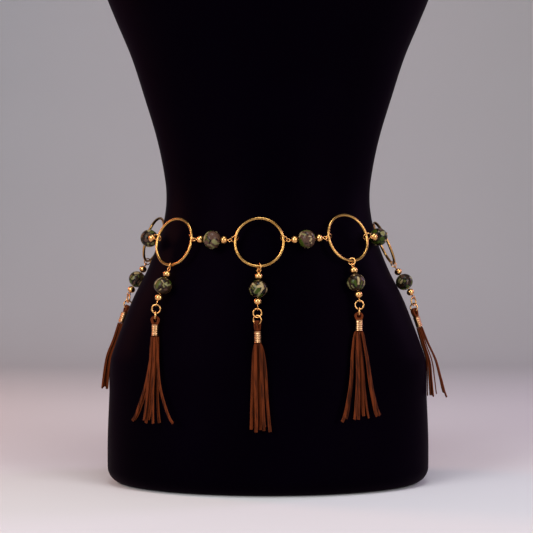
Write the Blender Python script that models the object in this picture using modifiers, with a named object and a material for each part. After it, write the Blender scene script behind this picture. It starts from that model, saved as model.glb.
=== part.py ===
"""A beaded hip belt of metal rings, stone beads and suede tassels, worn on a limbless torso form.

Seven rings go round the hips, joined by links: an eye pin with a stone bead between two small metal
beads, and a jump ring at each end. A drop hangs from each ring at the front and the sides: a jump ring,
an eye pin with the same three beads, two larger jump rings, and a suede tassel bound with a metal band.
A clasp and a short chain close the belt at the back.

Lengths are in metres. The origin is the middle of the form's flat base, +Z is up and the front faces -Y.
Left and right are those of a viewer who faces the front, so left is -X.
"""

import math
from collections import namedtuple

import bpy
from mathutils import Matrix, Vector

UP = Vector((0, 0, 1))

# The form: one row for each level of the torso, from the base to the top of the neck.
Section = namedtuple("Section", "height half_width front back")
SECTIONS = [
    Section(0.000, 0.1665, 0.1090, 0.1160),
    Section(0.045, 0.1665, 0.1085, 0.1200),
    Section(0.090, 0.1648, 0.1055, 0.1220),
    Section(0.125, 0.1636, 0.1020, 0.1190),
    Section(0.145, 0.1575, 0.0995, 0.1150),
    Section(0.165, 0.1500, 0.0970, 0.1095),
    Section(0.190, 0.1400, 0.0935, 0.1020),
    Section(0.220, 0.1250, 0.0895, 0.0945),
    Section(0.250, 0.1133, 0.0850, 0.0880),
    Section(0.270, 0.1082, 0.0810, 0.0850),
    Section(0.290, 0.1057, 0.0780, 0.0830),
    Section(0.312, 0.1069, 0.0770, 0.0830),
    Section(0.354, 0.1152, 0.0805, 0.0865),
    Section(0.400, 0.1290, 0.0900, 0.0920),
    Section(0.440, 0.1420, 0.1030, 0.0965),
    Section(0.480, 0.1588, 0.1170, 0.1000),
    Section(0.505, 0.1685, 0.1225, 0.1015),
    Section(0.545, 0.1775, 0.1215, 0.1030),
    Section(0.590, 0.1770, 0.1060, 0.1030),
    Section(0.622, 0.1650, 0.0900, 0.0960),
    Section(0.645, 0.1390, 0.0770, 0.0860),
    Section(0.662, 0.1000, 0.0660, 0.0740),
    Section(0.678, 0.0680, 0.0575, 0.0630),
    Section(0.698, 0.0560, 0.0530, 0.0560),
    Section(0.735, 0.0540, 0.0510, 0.0540),
]
BASE_ROUND = 0.016
NECK_ROUND = 0.005
FORM_SEGMENTS = 32

# The belt's hardware.
GAP = 0.0003
LOOP_GAP = 0.0005
SURFACE_GAP = 0.0006
RING_DIAMETER = 0.050
RING_WIRE = 0.0028
HANG = {"front": 9.5, "left_1": 10.5, "left_2": 3.5, "left_3": 9.5, "right_1": 2.5, "right_2": 19, "right_3": 9.5}
SIDE_JUMP_DIAMETER = 0.0078
SIDE_JUMP_WIRE = 0.0011
SIDE_JUMP_PLAY = 0.0008
LINK_JUMP_DIAMETER = 0.0090
LINK_JUMP_PLAY = 0.0004
LINK_ROLL = math.radians(-38)
LINK_DROOP = {"left_1": (0.0014, 0.0018), "right_1": (0.0020, 0.0004)}
LEAST_DROOP = (0.0008, 0.0008)
LOW_JUMP_DIAMETER = 0.0100
LOW_JUMP_WIRE = 0.0015
EYE_RADIUS = 0.00175
PIN_WIRE = 0.0009
NECK_OF_EYE = 0.0005
METAL_BEAD = 0.0080
METAL_BEAD_HEIGHT = 0.0072
STONE = 0.0180
STONE_HEIGHT = 0.0170
STONE_BORE = 0.0016
SOLDER = 0.00015
FUSED_SHARP = math.radians(60)
HANGER_ROLL = math.radians(35)

# How finely the wires and beads are divided: segments round each loop, and sides round the wire.
RING_SEGMENTS = 24
RING_SIDES = 6
JUMP_SEGMENTS = 12
EYE_SEGMENTS = 7
JUMP_SIDES = 4
BEAD_SEGMENTS = 8
BEAD_RINGS = 5
STONE_SEGMENTS = 10
STONE_RINGS = 6

# Where the belt lies. The standoff is how much further out it is at the left.
BELT_HEIGHT = 0.250
BELT_OFFSET = 0.0098
LEFT_STANDOFF = 0.0040
PIN_STANDOFF = 0.0032
RING_LIE = 0.0082
RING_MOST_TILT = math.radians(29)
FRONT_RING_SHIFT = -0.0087
BELT_RISE = 0.0034
BELT_TILT = 0.0008
RINGS_EACH_SIDE = 3

# The closure at the back.
CHAIN_LINK = 0.0092
CHAIN_WIRE = 0.0016
CHAIN_SEGMENTS = 8
CLASP_LENGTH = 0.0150
CLASP_WIDTH = 0.0075
CLASP_WIRE = 0.0018
CHAIN_OFFSET = 0.0045

# The tassels: a folded bundle of flat suede cords, with a metal band round it.
CORD_WIDTH = 0.0030
CORD_THICKNESS = 0.0013
STRANDS = 8
LAYERS = 4
LAYER_PITCH = 0.0016
STRAND_SEGMENTS = 4
STRAP_WIDTH = 0.0036
STRAP_THICKNESS = 0.0026
STRAP_EASE = 0.0009
BAND_LENGTH = 0.0103
BAND_WALL = 0.0006
CORE_RADIUS = 0.0024
CORE_TIP = 0.0004
COLLAR_RADIUS = 0.0034
COLLAR_HEIGHT = 0.0026
CORE_SEGMENTS = 8
BAND_SEGMENTS = 10
LOW_JUMP_REST = 0.0030
STRAP_REST = 0.0050

# One row for each drop: its ring, its leans and turns in degrees, and its tassel's spread. The leans are
# those of the pin, the lower jump rings and the tassel towards the viewer's right, along the ring. The
# turns are the ways that the two lower jump rings face. The neck is the bare wire above the pin's lower eye,
# and the band's top is measured down from the wire that the tassel hangs on. The length is that of the cords
# below the band. Early is the share of their fanning out that comes at once, and the rest comes slowly. The
# flare is how far the outer cords stand away from the form at their tips, uneven is the most that a cord is
# cut short, and the tips are the cords' distances from the tassel's own line, the left column's first.
DROP_FIELDS = "ring pin_lean jump_lean tassel_lean turn_a turn_b neck band_top length early flare uneven tips"
Drop = namedtuple("Drop", DROP_FIELDS)
DROPS = [
    Drop("front", -1.5, -1, 1.5, -20, 24, 0.0013, 0.0070, 0.0850, 0.65, 0.002, 0.0050,
         (-0.0084, -0.0078, -0.0036, -0.0030, 0.0002, 0.0036, 0.0044, 0.0100)),
    Drop("left_1", -7, -6, 3, -34, 50, 0.0018, 0.0052, 0.0850, 0.15, 0.004, 0.0036,
         (-0.0280, -0.0262, -0.0074, -0.0080, -0.0068, 0.0062, 0.0063, 0.0290)),
    Drop("left_2", 8, 8, 12, -40, 50, 0.0002, 0.0054, 0.0715, 0.20, 0.001, 0.0036,
         (-0.0100, -0.0070, -0.0040, -0.0020, 0.0010, 0.0030, 0.0050, 0.0080)),
    Drop("right_1", 0, -3, -2, 24, -56, 0.0004, 0.0041, 0.0850, 0.35, 0.004, 0.0030,
         (-0.0226, -0.0165, -0.0130, -0.0050, 0.0035, 0.0095, 0.0150, 0.0205)),
    Drop("right_2", -9, -10, -4, 44, -44, 0.0006, 0.0062, 0.0730, 0.30, 0.0135, 0.0036,
         (-0.0150, -0.0110, -0.0070, -0.0040, 0.0000, 0.0040, 0.0080, 0.0200)),
]
STRAND_LAYERS = (1, 0, 3, 2)
# The part of a cord's length over which the early fanning comes, and the powers that hold the rest and
# the flare of the inner cords back.
EARLY_SHARE = 0.15
LATE_POWER = 2.8
FLARE_POWER = 2.5

RING_RADIUS = (RING_DIAMETER - RING_WIRE) / 2
SIDE_JUMP_RADIUS = (SIDE_JUMP_DIAMETER - SIDE_JUMP_WIRE) / 2
LINK_JUMP_RADIUS = (LINK_JUMP_DIAMETER - SIDE_JUMP_WIRE) / 2
LOW_JUMP_RADIUS = (LOW_JUMP_DIAMETER - LOW_JUMP_WIRE) / 2
HANGER_REACH = SIDE_JUMP_DIAMETER / 2 * math.cos(HANGER_ROLL)
BAND_RADIUS = CORE_RADIUS + GAP + BAND_WALL


# Places


def section(height):
    """The form's half width, front depth and back depth at a height, on a smooth curve through the rows."""
    rows = SECTIONS
    height = min(max(height, rows[0].height), rows[-1].height)
    i = max(k for k in range(len(rows) - 1) if rows[k].height <= height)
    low, high = rows[i], rows[i + 1]
    before, after = rows[max(i - 1, 0)], rows[min(i + 2, len(rows) - 1)]
    span = high.height - low.height
    t = (height - low.height) / span
    values = []
    for column in ("half_width", "front", "back"):
        v0, v1, v2, v3 = (getattr(row, column) for row in (before, low, high, after))
        slope_low = (v2 - v0) / (high.height - before.height) * span
        slope_high = (v3 - v1) / (after.height - low.height) * span
        values.append(
            v1 * (2 * t**3 - 3 * t**2 + 1)
            + slope_low * (t**3 - 2 * t**2 + t)
            + v2 * (3 * t**2 - 2 * t**3)
            + slope_high * (t**3 - t**2)
        )
    return values


def form_point(angle, height, inset=0.0):
    """A point on the form. Angle 0 is the middle of the front, and grows towards +X."""
    half_width, front, back = section(height)
    depth = front if math.cos(angle) > 0 else back
    x = (half_width - inset) * math.sin(angle)
    y = -(depth - inset) * math.cos(angle)
    return Vector((x, y, height))


def clearance(point):
    """How far a point near the form lies outside its surface."""

    def value(p):
        half_width, front, back = section(p.z)
        return math.hypot(p.x / half_width, p.y / (front if p.y < 0 else back)) - 1

    step = 1e-4
    steepness = Vector(
        (value(point + axis * step) - value(point - axis * step)) / (2 * step)
        for axis in (Vector((1, 0, 0)), Vector((0, 1, 0)), UP)
    )
    return value(point) / steepness.length


def belt_point(angle, offset=BELT_OFFSET):
    """A point on the belt's line, this far out from the form. The line rises at the sides."""
    height = BELT_HEIGHT + BELT_RISE * math.sin(angle) ** 2 + BELT_TILT * math.sin(angle)
    half_width, front, back = section(height)
    depth = front if math.cos(angle) > 0 else back
    outward = Vector((depth * math.sin(angle), -half_width * math.cos(angle), 0)).normalized()
    return form_point(angle, height) + outward * (offset + LEFT_STANDOFF * max(0, -math.sin(angle)) ** 2)


def along_belt(angle, distance):
    """The angle at which the belt's line is this far, straight, from where it is now."""
    start = belt_point(angle)
    near, far = 0.0, math.copysign(1.2, distance)
    for _ in range(50):
        middle = (near + far) / 2
        if (belt_point(angle + middle) - start).length < abs(distance):
            near = middle
        else:
            far = middle
    return angle + far


def first_clear(is_clear, most=60.0, step=0.25):
    """The smallest angle, from 0 in quarter degrees, at which the test passes."""
    degrees = 0.0
    while degrees < most and not is_clear(math.radians(degrees)):
        degrees += step
    return math.radians(degrees)


def ring_span(ring):
    """The distance, straight across a ring, between the two places where its side jump rings hold it."""
    return 2 * RING_RADIUS * math.cos(math.radians(HANG[ring]))


def ring_place(ring, left, right):
    """Where a ring lies between its two side jump rings: its middle, its tangent and its way down."""
    tangent = (right - left).normalized()
    outward = tangent.cross(UP).normalized()

    def tilted(tilt):
        down = outward * math.sin(tilt) - UP * math.cos(tilt)
        middle = (left + right) / 2 + down * RING_RADIUS * math.sin(math.radians(HANG[ring]))
        return middle, down

    def lies_along(tilt):
        middle, down = tilted(tilt)
        return tilt >= RING_MOST_TILT or clearance(middle + down * RING_RADIUS) >= RING_LIE

    def is_clear(tilt):
        middle, down = tilted(tilt)
        turns = [math.tau * k / RING_SEGMENTS for k in range(RING_SEGMENTS)]
        points = [middle + (tangent * math.cos(a) + down * math.sin(a)) * RING_RADIUS for a in turns]
        return all(clearance(p) >= HANGER_REACH + SURFACE_GAP for p in points)

    middle, down = tilted(max(first_clear(lies_along), first_clear(is_clear)))
    return {"middle": middle, "tangent": tangent, "down": down, "left": left, "right": right}


DROP_HALF = STONE_HEIGHT / 2 + METAL_BEAD_HEIGHT + EYE_RADIUS + PIN_WIRE / 2 + GAP - SOLDER
LINK_HALF = DROP_HALF + SOLDER + NECK_OF_EYE
SIDE_JUMP_SHIFT = SIDE_JUMP_RADIUS - SIDE_JUMP_WIRE / 2 - RING_WIRE / 2 - SIDE_JUMP_PLAY
EYE_SHIFT = SIDE_JUMP_RADIUS - SIDE_JUMP_WIRE / 2 - PIN_WIRE / 2 + EYE_RADIUS
LINK_JUMP_SHIFT = SIDE_JUMP_SHIFT + LINK_JUMP_RADIUS - SIDE_JUMP_RADIUS - LINK_JUMP_PLAY
LINK_REACH = LINK_JUMP_SHIFT + EYE_SHIFT + LINK_JUMP_RADIUS - SIDE_JUMP_RADIUS + SOLDER


def link_reaches(name):
    """For a link's two ends: how far they hang below the line between its rings, and their reach along it."""
    droops = LINK_DROOP.get(name, LEAST_DROOP)
    return droops, [math.sqrt(LINK_REACH**2 - PIN_STANDOFF**2 - droop**2) for droop in droops]


def link_span(name):
    """The distance, straight across a link, between the two ring sides that it joins."""
    droops, reaches = link_reaches(name)
    return sum(reaches) + math.sqrt(4 * LINK_HALF**2 - (droops[0] - droops[1]) ** 2)


def link_eyes(name, left, right):
    """The middles of a link's two eyes, from the two ring sides that it joins, and the direction outwards."""
    droops, reaches = link_reaches(name)
    along = (right - left).normalized()
    outward = along.cross(UP).normalized()
    off = [outward * PIN_STANDOFF + along.cross(outward) * droop for droop in droops]
    return left + along * reaches[0] + off[0], right - along * reaches[1] + off[1], outward


def belt_layout():
    """Each ring's place by name, each link's two rings from left to right, and the closure's two angles."""
    start = math.asin(FRONT_RING_SHIFT / belt_point(math.pi / 2).x)
    left = along_belt(start, -ring_span("front") / 2)
    edges = {"front": (left, along_belt(left, ring_span("front")))}
    links = []
    for side, name in ((-1, "left"), (1, "right")):
        last, angle = "front", edges["front"][0 if side < 0 else 1]
        for k in range(1, RINGS_EACH_SIDE + 1):
            ring = f"{name}_{k}"
            near = along_belt(angle, side * link_span(ring))
            far = along_belt(near, side * ring_span(ring))
            edges[ring] = (min(near, far), max(near, far))
            links.append((ring, (last, ring) if side > 0 else (ring, last)))
            last, angle = ring, far
    rings = {ring: ring_place(ring, belt_point(a), belt_point(b)) for ring, (a, b) in edges.items()}
    closure = (edges[f"right_{RINGS_EACH_SIDE}"][1], edges[f"left_{RINGS_EACH_SIDE}"][0] + math.tau)
    return rings, links, closure


def hung(start, ring, lean, rests):
    """The direction in which a stiff piece hangs from start. rests are (distance along it, radius)."""
    down = ring["tangent"] * math.sin(math.radians(lean)) - UP * math.cos(math.radians(lean))
    outward = ring["tangent"].cross(UP).normalized()

    def direction(angle):
        return outward * math.sin(angle) + down * math.cos(angle)

    def is_clear(angle):
        return all(
            clearance(start + direction(angle) * along) >= radius + SURFACE_GAP for along, radius in rests
        )

    return direction(first_clear(is_clear))


def drop_layout(drop, ring):
    """The points and directions of the drop that hangs from a ring."""
    top = ring["middle"] + ring["down"] * RING_RADIUS
    eye = SIDE_JUMP_SHIFT + EYE_SHIFT - LOOP_GAP
    bead_pitch = (STONE_HEIGHT + METAL_BEAD_HEIGHT) / 2 + GAP
    rests = [
        (eye + DROP_HALF - bead_pitch, METAL_BEAD / 2),
        (eye + DROP_HALF, STONE / 2),
        (eye + DROP_HALF + bead_pitch, METAL_BEAD / 2),
        (eye + 2 * DROP_HALF + drop.neck, EYE_RADIUS),
    ]
    pin_way = hung(top, ring, drop.pin_lean, rests)
    low_eye = top + pin_way * (eye + 2 * DROP_HALF + drop.neck)
    to_a = LOW_JUMP_RADIUS + EYE_RADIUS - (PIN_WIRE + LOW_JUMP_WIRE) / 2 - LOOP_GAP
    to_b = to_a + 2 * LOW_JUMP_RADIUS - LOW_JUMP_WIRE - LOOP_GAP
    to_head = to_b + LOW_JUMP_RADIUS
    jump_rests = [(to_a, LOW_JUMP_REST), (to_b, LOW_JUMP_DIAMETER / 2), (to_head, STRAP_REST)]
    jump_way = hung(low_eye, ring, drop.jump_lean, jump_rests)
    bundle = LAYERS * LAYER_PITCH / 2
    strands_start = drop.band_top + BAND_LENGTH + COLLAR_HEIGHT / 2
    band_rests = [(drop.band_top, BAND_RADIUS), (strands_start, bundle), (2 * strands_start, bundle)]
    band_way = hung(low_eye + jump_way * to_head, ring, drop.tassel_lean, band_rests)
    outward = ring["tangent"].cross(UP).normalized()
    turn = math.radians(drop.turn_b)
    jump_normal = jump_way.cross(ring["tangent"] * math.cos(turn) + outward * math.sin(turn)).normalized()
    spoke = (band_way - jump_normal * band_way.dot(jump_normal)).normalized()
    head = low_eye + jump_way * to_b + spoke * LOW_JUMP_RADIUS
    path = [head + band_way * strands_start]
    step = drop.length / STRAND_SEGMENTS
    for _ in range(STRAND_SEGMENTS):
        path.append(path[-1] + hung(path[-1], ring, drop.tassel_lean, [(step, bundle)]) * step)
    return {
        "tangent": ring["tangent"],
        "outward": outward,
        "top": top,
        "eye": top + pin_way * eye,
        "pin_way": pin_way,
        "stone": top + pin_way * (eye + DROP_HALF),
        "low_eye": low_eye,
        "jump_way": jump_way,
        "jump_a": low_eye + jump_way * to_a,
        "jump_b": low_eye + jump_way * to_b,
        "head": head,
        "band_way": band_way,
        "path": path,
    }


# Blender's tools


def frame(centre, along, across):
    """A placement with its X axis along one direction and its Y axis as near as can be to the other."""
    x = along.normalized()
    z = x.cross(across).normalized()
    rows = Matrix((x, z.cross(x), z)).transposed().to_4x4()
    return Matrix.Translation(centre) @ rows


def on_axis(centre, way):
    """A placement with its Z axis along one direction."""
    return Matrix.Translation(centre) @ way.to_track_quat("Z", "Y").to_matrix().to_4x4()


def clear_scene():
    for obj in list(bpy.data.objects):
        bpy.data.objects.remove(obj, do_unlink=True)


def make_material(name, colour, roughness, metallic):
    material = bpy.data.materials.new(name)
    material.use_nodes = True
    shader = material.node_tree.nodes["Principled BSDF"]
    shader.inputs["Base Color"].default_value = (*colour, 1)
    shader.inputs["Roughness"].default_value = roughness
    shader.inputs["Metallic"].default_value = metallic
    material.diffuse_color = (*colour, 1)
    return material


def named(name, material, obj=None):
    """Names the object, gives it its material and moves it to the belt's collection."""
    obj = obj or bpy.context.object
    obj.name = name
    obj.data.name = name
    obj.data.materials.clear()
    obj.data.materials.append(material)
    for collection in list(obj.users_collection):
        collection.objects.unlink(obj)
    bpy.data.collections["Belt on form"].objects.link(obj)
    return obj


def mesh_object(name, points, edges, faces):
    mesh = bpy.data.meshes.new(name)
    mesh.from_pydata(points, edges, faces)
    obj = bpy.data.objects.new(name, mesh)
    bpy.context.scene.collection.objects.link(obj)
    return obj


def torus(place, radius, wire, segments, sides=JUMP_SIDES):
    bpy.ops.mesh.primitive_torus_add(
        major_radius=radius, minor_radius=wire / 2, major_segments=segments, minor_segments=sides
    )
    obj = bpy.context.object
    obj.matrix_world = place
    return obj


def rod(start, end, diameter):
    """A straight wire between two points."""
    way = end - start
    bpy.ops.mesh.primitive_cylinder_add(vertices=RING_SIDES, radius=diameter / 2, depth=way.length)
    obj = bpy.context.object
    obj.matrix_world = on_axis((start + end) / 2, way)
    return obj


def metal_bead(centre, way):
    """A slightly flattened round bead, with its short axis along way."""
    bpy.ops.mesh.primitive_uv_sphere_add(
        segments=BEAD_SEGMENTS, ring_count=BEAD_RINGS, radius=METAL_BEAD / 2
    )
    obj = bpy.context.object
    obj.data.transform(Matrix.Scale(METAL_BEAD_HEIGHT / METAL_BEAD, 4, UP))
    obj.matrix_world = on_axis(centre, way)
    return obj


def turned(profile, place, steps):
    """A closed outline of (radius, height) points turned about the local Z axis."""
    points = [(radius, 0, height) for radius, height in profile]
    edges = [(k, (k + 1) % len(points)) for k in range(len(points))]
    obj = mesh_object("turned", points, edges, [])
    screw = obj.modifiers.new("Turn", "SCREW")
    screw.steps = screw.render_steps = steps
    screw.use_merge_vertices = True
    screw.merge_threshold = 1e-6
    obj.matrix_world = place
    return obj


def ribbon(middles, across, width, thickness):
    """A flat strip along a row of middle points, with its width along across at each point."""
    points = [m + a * side * width / 2 for m, a in zip(middles, across) for side in (-1, 1)]
    faces = [(2 * k, 2 * k + 1, 2 * k + 3, 2 * k + 2) for k in range(len(middles) - 1)]
    obj = mesh_object("ribbon", points, [], faces)
    shell = obj.modifiers.new("Thickness", "SOLIDIFY")
    shell.thickness = thickness
    shell.offset = 0
    return obj


def baked(obj):
    """The object with its modifiers made part of its mesh."""
    bpy.context.view_layer.update()
    evaluated = obj.evaluated_get(bpy.context.evaluated_depsgraph_get())
    mesh = bpy.data.meshes.new_from_object(evaluated)
    obj.modifiers.clear()
    obj.data = mesh
    return obj


def fused(pieces):
    """The first piece with all the others joined to it by a Boolean union."""
    body, *others = [baked(piece) for piece in pieces]
    for other in others:
        union = body.modifiers.new("Join", "BOOLEAN")
        union.operation = "UNION"
        union.object = other
    baked(body)
    for other in others:
        bpy.data.objects.remove(other, do_unlink=True)
    body.data.shade_smooth()
    body.data.set_sharp_from_angle(angle=FUSED_SHARP)
    return body


def loft(name, rings):
    """A closed skin through rings of points, with a flat cap at each end."""
    count = len(rings[0])
    points = [p for ring in rings for p in ring]
    faces = [tuple(reversed(range(count)))]
    for row in range(len(rings) - 1):
        for k in range(count):
            low, high = row * count, (row + 1) * count
            nxt = (k + 1) % count
            faces.append((low + k, low + nxt, high + nxt, high + k))
    faces.append(tuple(range((len(rings) - 1) * count, len(rings) * count)))
    return mesh_object(name, points, [], faces)


# The form


def build_form(material):
    """The torso, with a rounded rim at its flat base and at the top of the neck."""
    turns = [math.tau * k / FORM_SEGMENTS for k in range(FORM_SEGMENTS)]
    rings = []
    for share in (0.0, 0.12, 0.45, 1.0):
        height = BASE_ROUND * share
        inset = BASE_ROUND * (1 - math.sqrt(1 - (1 - share) ** 2))
        rings.append([form_point(a, height, inset) for a in turns])
    for row in SECTIONS[1:-1]:
        rings.append([form_point(a, row.height) for a in turns])
    top = SECTIONS[-1].height
    rings.append([form_point(a, top - NECK_ROUND) for a in turns])
    rings.append([form_point(a, top, NECK_ROUND * 0.7) for a in turns])
    obj = named("torso_form", material, loft("torso_form", rings))
    obj.data.shade_smooth()
    obj.data.set_sharp_from_angle(angle=math.radians(40))
    return obj


# The hardware


def stone_profile():
    """Half the outline of a stone bead with its bore, top to bottom down the outside."""
    rise = STONE_HEIGHT / 2
    start = math.asin(STONE_BORE / STONE)
    angles = [start + (math.pi - 2 * start) * k / STONE_RINGS for k in range(STONE_RINGS + 1)]
    return [(STONE / 2 * math.sin(a), rise * math.cos(a)) for a in angles]


def build_stone(name, centre, way, material):
    obj = baked(turned(stone_profile(), on_axis(centre, way), STONE_SEGMENTS))
    obj.data.shade_smooth()
    return named(name, material, obj)


def pin_pieces(centre, first, last, first_across, last_across):
    """An eye pin with its two small metal beads. Each eye's plane holds the pin and one direction."""
    way = (last - first).normalized()
    bead = (STONE_HEIGHT + METAL_BEAD_HEIGHT) / 2 + GAP
    return [
        rod(first + way * EYE_RADIUS, last - way * EYE_RADIUS, PIN_WIRE),
        torus(frame(first, way, first_across), EYE_RADIUS, PIN_WIRE, EYE_SEGMENTS),
        torus(frame(last, way, last_across), EYE_RADIUS, PIN_WIRE, EYE_SEGMENTS),
        metal_bead(centre - way * bead, way),
        metal_bead(centre + way * bead, way),
    ]


def side_jump(ring, side, eye_point, roll):
    """The jump ring that joins a link's eye to a ring's side wire, square to that wire but for its roll."""
    way = (eye_point - ring[side]).normalized()
    wire_way = ring["tangent"].cross(ring["down"]).cross(ring[side] - ring["middle"])
    square = wire_way.cross(way).normalized()
    across = square * math.cos(roll) + way.cross(square) * math.sin(roll)
    place = frame(ring[side] + way * LINK_JUMP_SHIFT, way, across)
    return torus(place, LINK_JUMP_RADIUS, SIDE_JUMP_WIRE, JUMP_SEGMENTS)


def build_link(name, left_ring, right_ring, metal, stone):
    """A link: its pin, small beads and jump rings are one solid, and the stone another."""
    first, last, outward = link_eyes(name, left_ring["right"], right_ring["left"])
    centre = (first + last) / 2
    eyes_across = UP * math.cos(LINK_ROLL) + outward * math.sin(LINK_ROLL)
    pieces = pin_pieces(centre, first, last, eyes_across, eyes_across)
    pieces.append(side_jump(left_ring, "right", first, LINK_ROLL))
    pieces.append(side_jump(right_ring, "left", last, -LINK_ROLL))
    named(f"link_pin_{name}", metal, fused(pieces))
    build_stone(f"link_stone_{name}", centre, last - first, stone)


def build_ring(name, place, metal):
    middle = frame(place["middle"], place["tangent"], place["down"])
    obj = torus(middle, RING_RADIUS, RING_WIRE, RING_SEGMENTS, RING_SIDES)
    obj.data.shade_smooth()
    return named(f"ring_{name}", metal, obj)


# The drops


def core_profile(band_top):
    """Half the outline of the bundle inside and just outside the band, down from the jump ring."""
    band_low = band_top + BAND_LENGTH
    return [
        (CORE_TIP, -(band_top - COLLAR_HEIGHT)),
        (COLLAR_RADIUS, -(band_top - COLLAR_HEIGHT)),
        (COLLAR_RADIUS, -(band_top - GAP)),
        (CORE_RADIUS, -(band_top - GAP)),
        (CORE_RADIUS, -(band_low + GAP)),
        (COLLAR_RADIUS, -(band_low + GAP)),
        (COLLAR_RADIUS, -(band_low + COLLAR_HEIGHT)),
        (CORE_TIP, -(band_low + COLLAR_HEIGHT)),
    ]


def strap_ribbon(head, way, across, band_top):
    """The folded cords that go over the lowest jump ring and down into the band."""
    arch = way.cross(across)
    radius = LOW_JUMP_WIRE / 2 + GAP + STRAP_EASE + STRAP_THICKNESS / 2
    leg_end = band_top - 0.0010
    turns = [math.pi * k / 4 for k in range(5)]
    middles = [head - arch * (radius * 0.62) + way * leg_end]
    middles += [head - arch * math.cos(a) * radius - way * math.sin(a) * radius for a in turns]
    middles.append(head + arch * (radius * 0.62) + way * leg_end)
    return ribbon(middles, [across] * len(middles), STRAP_WIDTH, STRAP_THICKNESS)


def strand_ribbon(drop, layout, number):
    """One flat cord of the tassel, counted from the left. It starts in the bundle and fans out to its tip."""
    column, layer = number // LAYERS, STRAND_LAYERS[number % LAYERS]
    tip = drop.tips[number]
    root = (column - (STRANDS // LAYERS - 1) / 2) * (CORD_WIDTH + 0.0002)
    depth = (layer - (LAYERS - 1) / 2) * LAYER_PITCH
    shorter = drop.uneven * (0.5 + 0.5 * math.sin(2.4 * number + drop.turn_a - drop.turn_b))
    path = layout["path"]
    middles, across = [], []
    for k, point in enumerate(path):
        t = k / (len(path) - 1)
        way = (path[min(k + 1, len(path) - 1)] - path[max(k - 1, 0)]).normalized()
        normal = layout["tangent"].cross(-way).normalized()
        share = drop.early * (1 - math.exp(-t / EARLY_SHARE)) + (1 - drop.early) * t**LATE_POWER
        side = root + (tip - root) * share
        outer = depth + drop.flare * t**1.5 * (layer / (LAYERS - 1)) ** FLARE_POWER
        middle = point - way * shorter * t + layout["tangent"] * side + normal * outer
        lift = LAYERS * LAYER_PITCH / 2 + depth + SURFACE_GAP - clearance(middle)
        middles.append(middle + normal * max(0, lift))
        across.append(layout["tangent"])
    return ribbon(middles, across, CORD_WIDTH, CORD_THICKNESS)


def build_tassel(drop, layout, suede, metal):
    """The suede bundle as one solid, fused at its bound head, and the band round it."""
    way, head = layout["band_way"], layout["head"]
    turn = math.radians(drop.turn_b)
    flat = layout["tangent"] * math.cos(turn) + layout["outward"] * math.sin(turn)
    across = (flat - way * flat.dot(way)).normalized()
    upright = on_axis(head, -way)
    core = turned(core_profile(drop.band_top), upright, CORE_SEGMENTS)
    pieces = [core, strap_ribbon(head, way, across, drop.band_top)]
    pieces += [strand_ribbon(drop, layout, k) for k in range(STRANDS)]
    named(f"tassel_{drop.ring}", suede, fused(pieces))
    inner, low = CORE_RADIUS + GAP, drop.band_top + BAND_LENGTH
    band_profile = [(BAND_RADIUS, -drop.band_top), (BAND_RADIUS, -low), (inner, -low), (inner, -drop.band_top)]
    band = baked(turned(band_profile, upright, BAND_SEGMENTS))
    band.data.shade_smooth()
    named(f"tassel_band_{drop.ring}", metal, band)


def build_drop(drop, ring, metal, stone, suede):
    layout = drop_layout(drop, ring)
    tangent, outward = layout["tangent"], layout["outward"]
    pin_way = layout["pin_way"]
    pin_out = tangent.cross(-pin_way).normalized()
    roll = pin_out * math.cos(HANGER_ROLL) + tangent * math.sin(HANGER_ROLL)
    hanger = frame(layout["top"] + pin_way * SIDE_JUMP_SHIFT, pin_way, roll)
    named(f"hanger_{drop.ring}", metal, torus(hanger, SIDE_JUMP_RADIUS, SIDE_JUMP_WIRE, JUMP_SEGMENTS))
    turn_a = math.radians(drop.turn_a)
    low_out = pin_out * math.cos(turn_a) - tangent * math.sin(turn_a)
    pin = fused(pin_pieces(layout["stone"], layout["eye"], layout["low_eye"], tangent, low_out))
    named(f"drop_pin_{drop.ring}", metal, pin)
    build_stone(f"drop_stone_{drop.ring}", layout["stone"], pin_way, stone)
    for letter, turn in (("a", drop.turn_a), ("b", drop.turn_b)):
        across = tangent * math.cos(math.radians(turn)) + outward * math.sin(math.radians(turn))
        place = frame(layout[f"jump_{letter}"], layout["jump_way"], across)
        jump = torus(place, LOW_JUMP_RADIUS, LOW_JUMP_WIRE, JUMP_SEGMENTS)
        named(f"jump_{letter}_{drop.ring}", metal, jump)
    build_tassel(drop, layout, suede, metal)


# The closure


def closure_points(start, end, count):
    """Points at equal steps round the back, from one ring's side wire to the other's."""
    points = []
    for k in range(count + 1):
        share = k / count
        offset = BELT_OFFSET + (CHAIN_OFFSET - BELT_OFFSET) * math.sin(math.pi * share)
        points.append(belt_point(start + (end - start) * share, offset))
    return points


def clasp_hoop(place):
    """An oblong ring: a round one whose two halves are drawn apart."""
    hoop = torus(Matrix.Identity(4), (CLASP_WIDTH - CLASP_WIRE) / 2, CLASP_WIRE, JUMP_SEGMENTS, RING_SIDES)
    hoop.data.transform(Matrix.Rotation(math.pi / JUMP_SEGMENTS, 4, "Z"))
    for vertex in hoop.data.vertices:
        vertex.co.x += math.copysign((CLASP_LENGTH - CLASP_WIDTH) / 2, vertex.co.x)
    hoop.matrix_world = place
    return hoop


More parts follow.
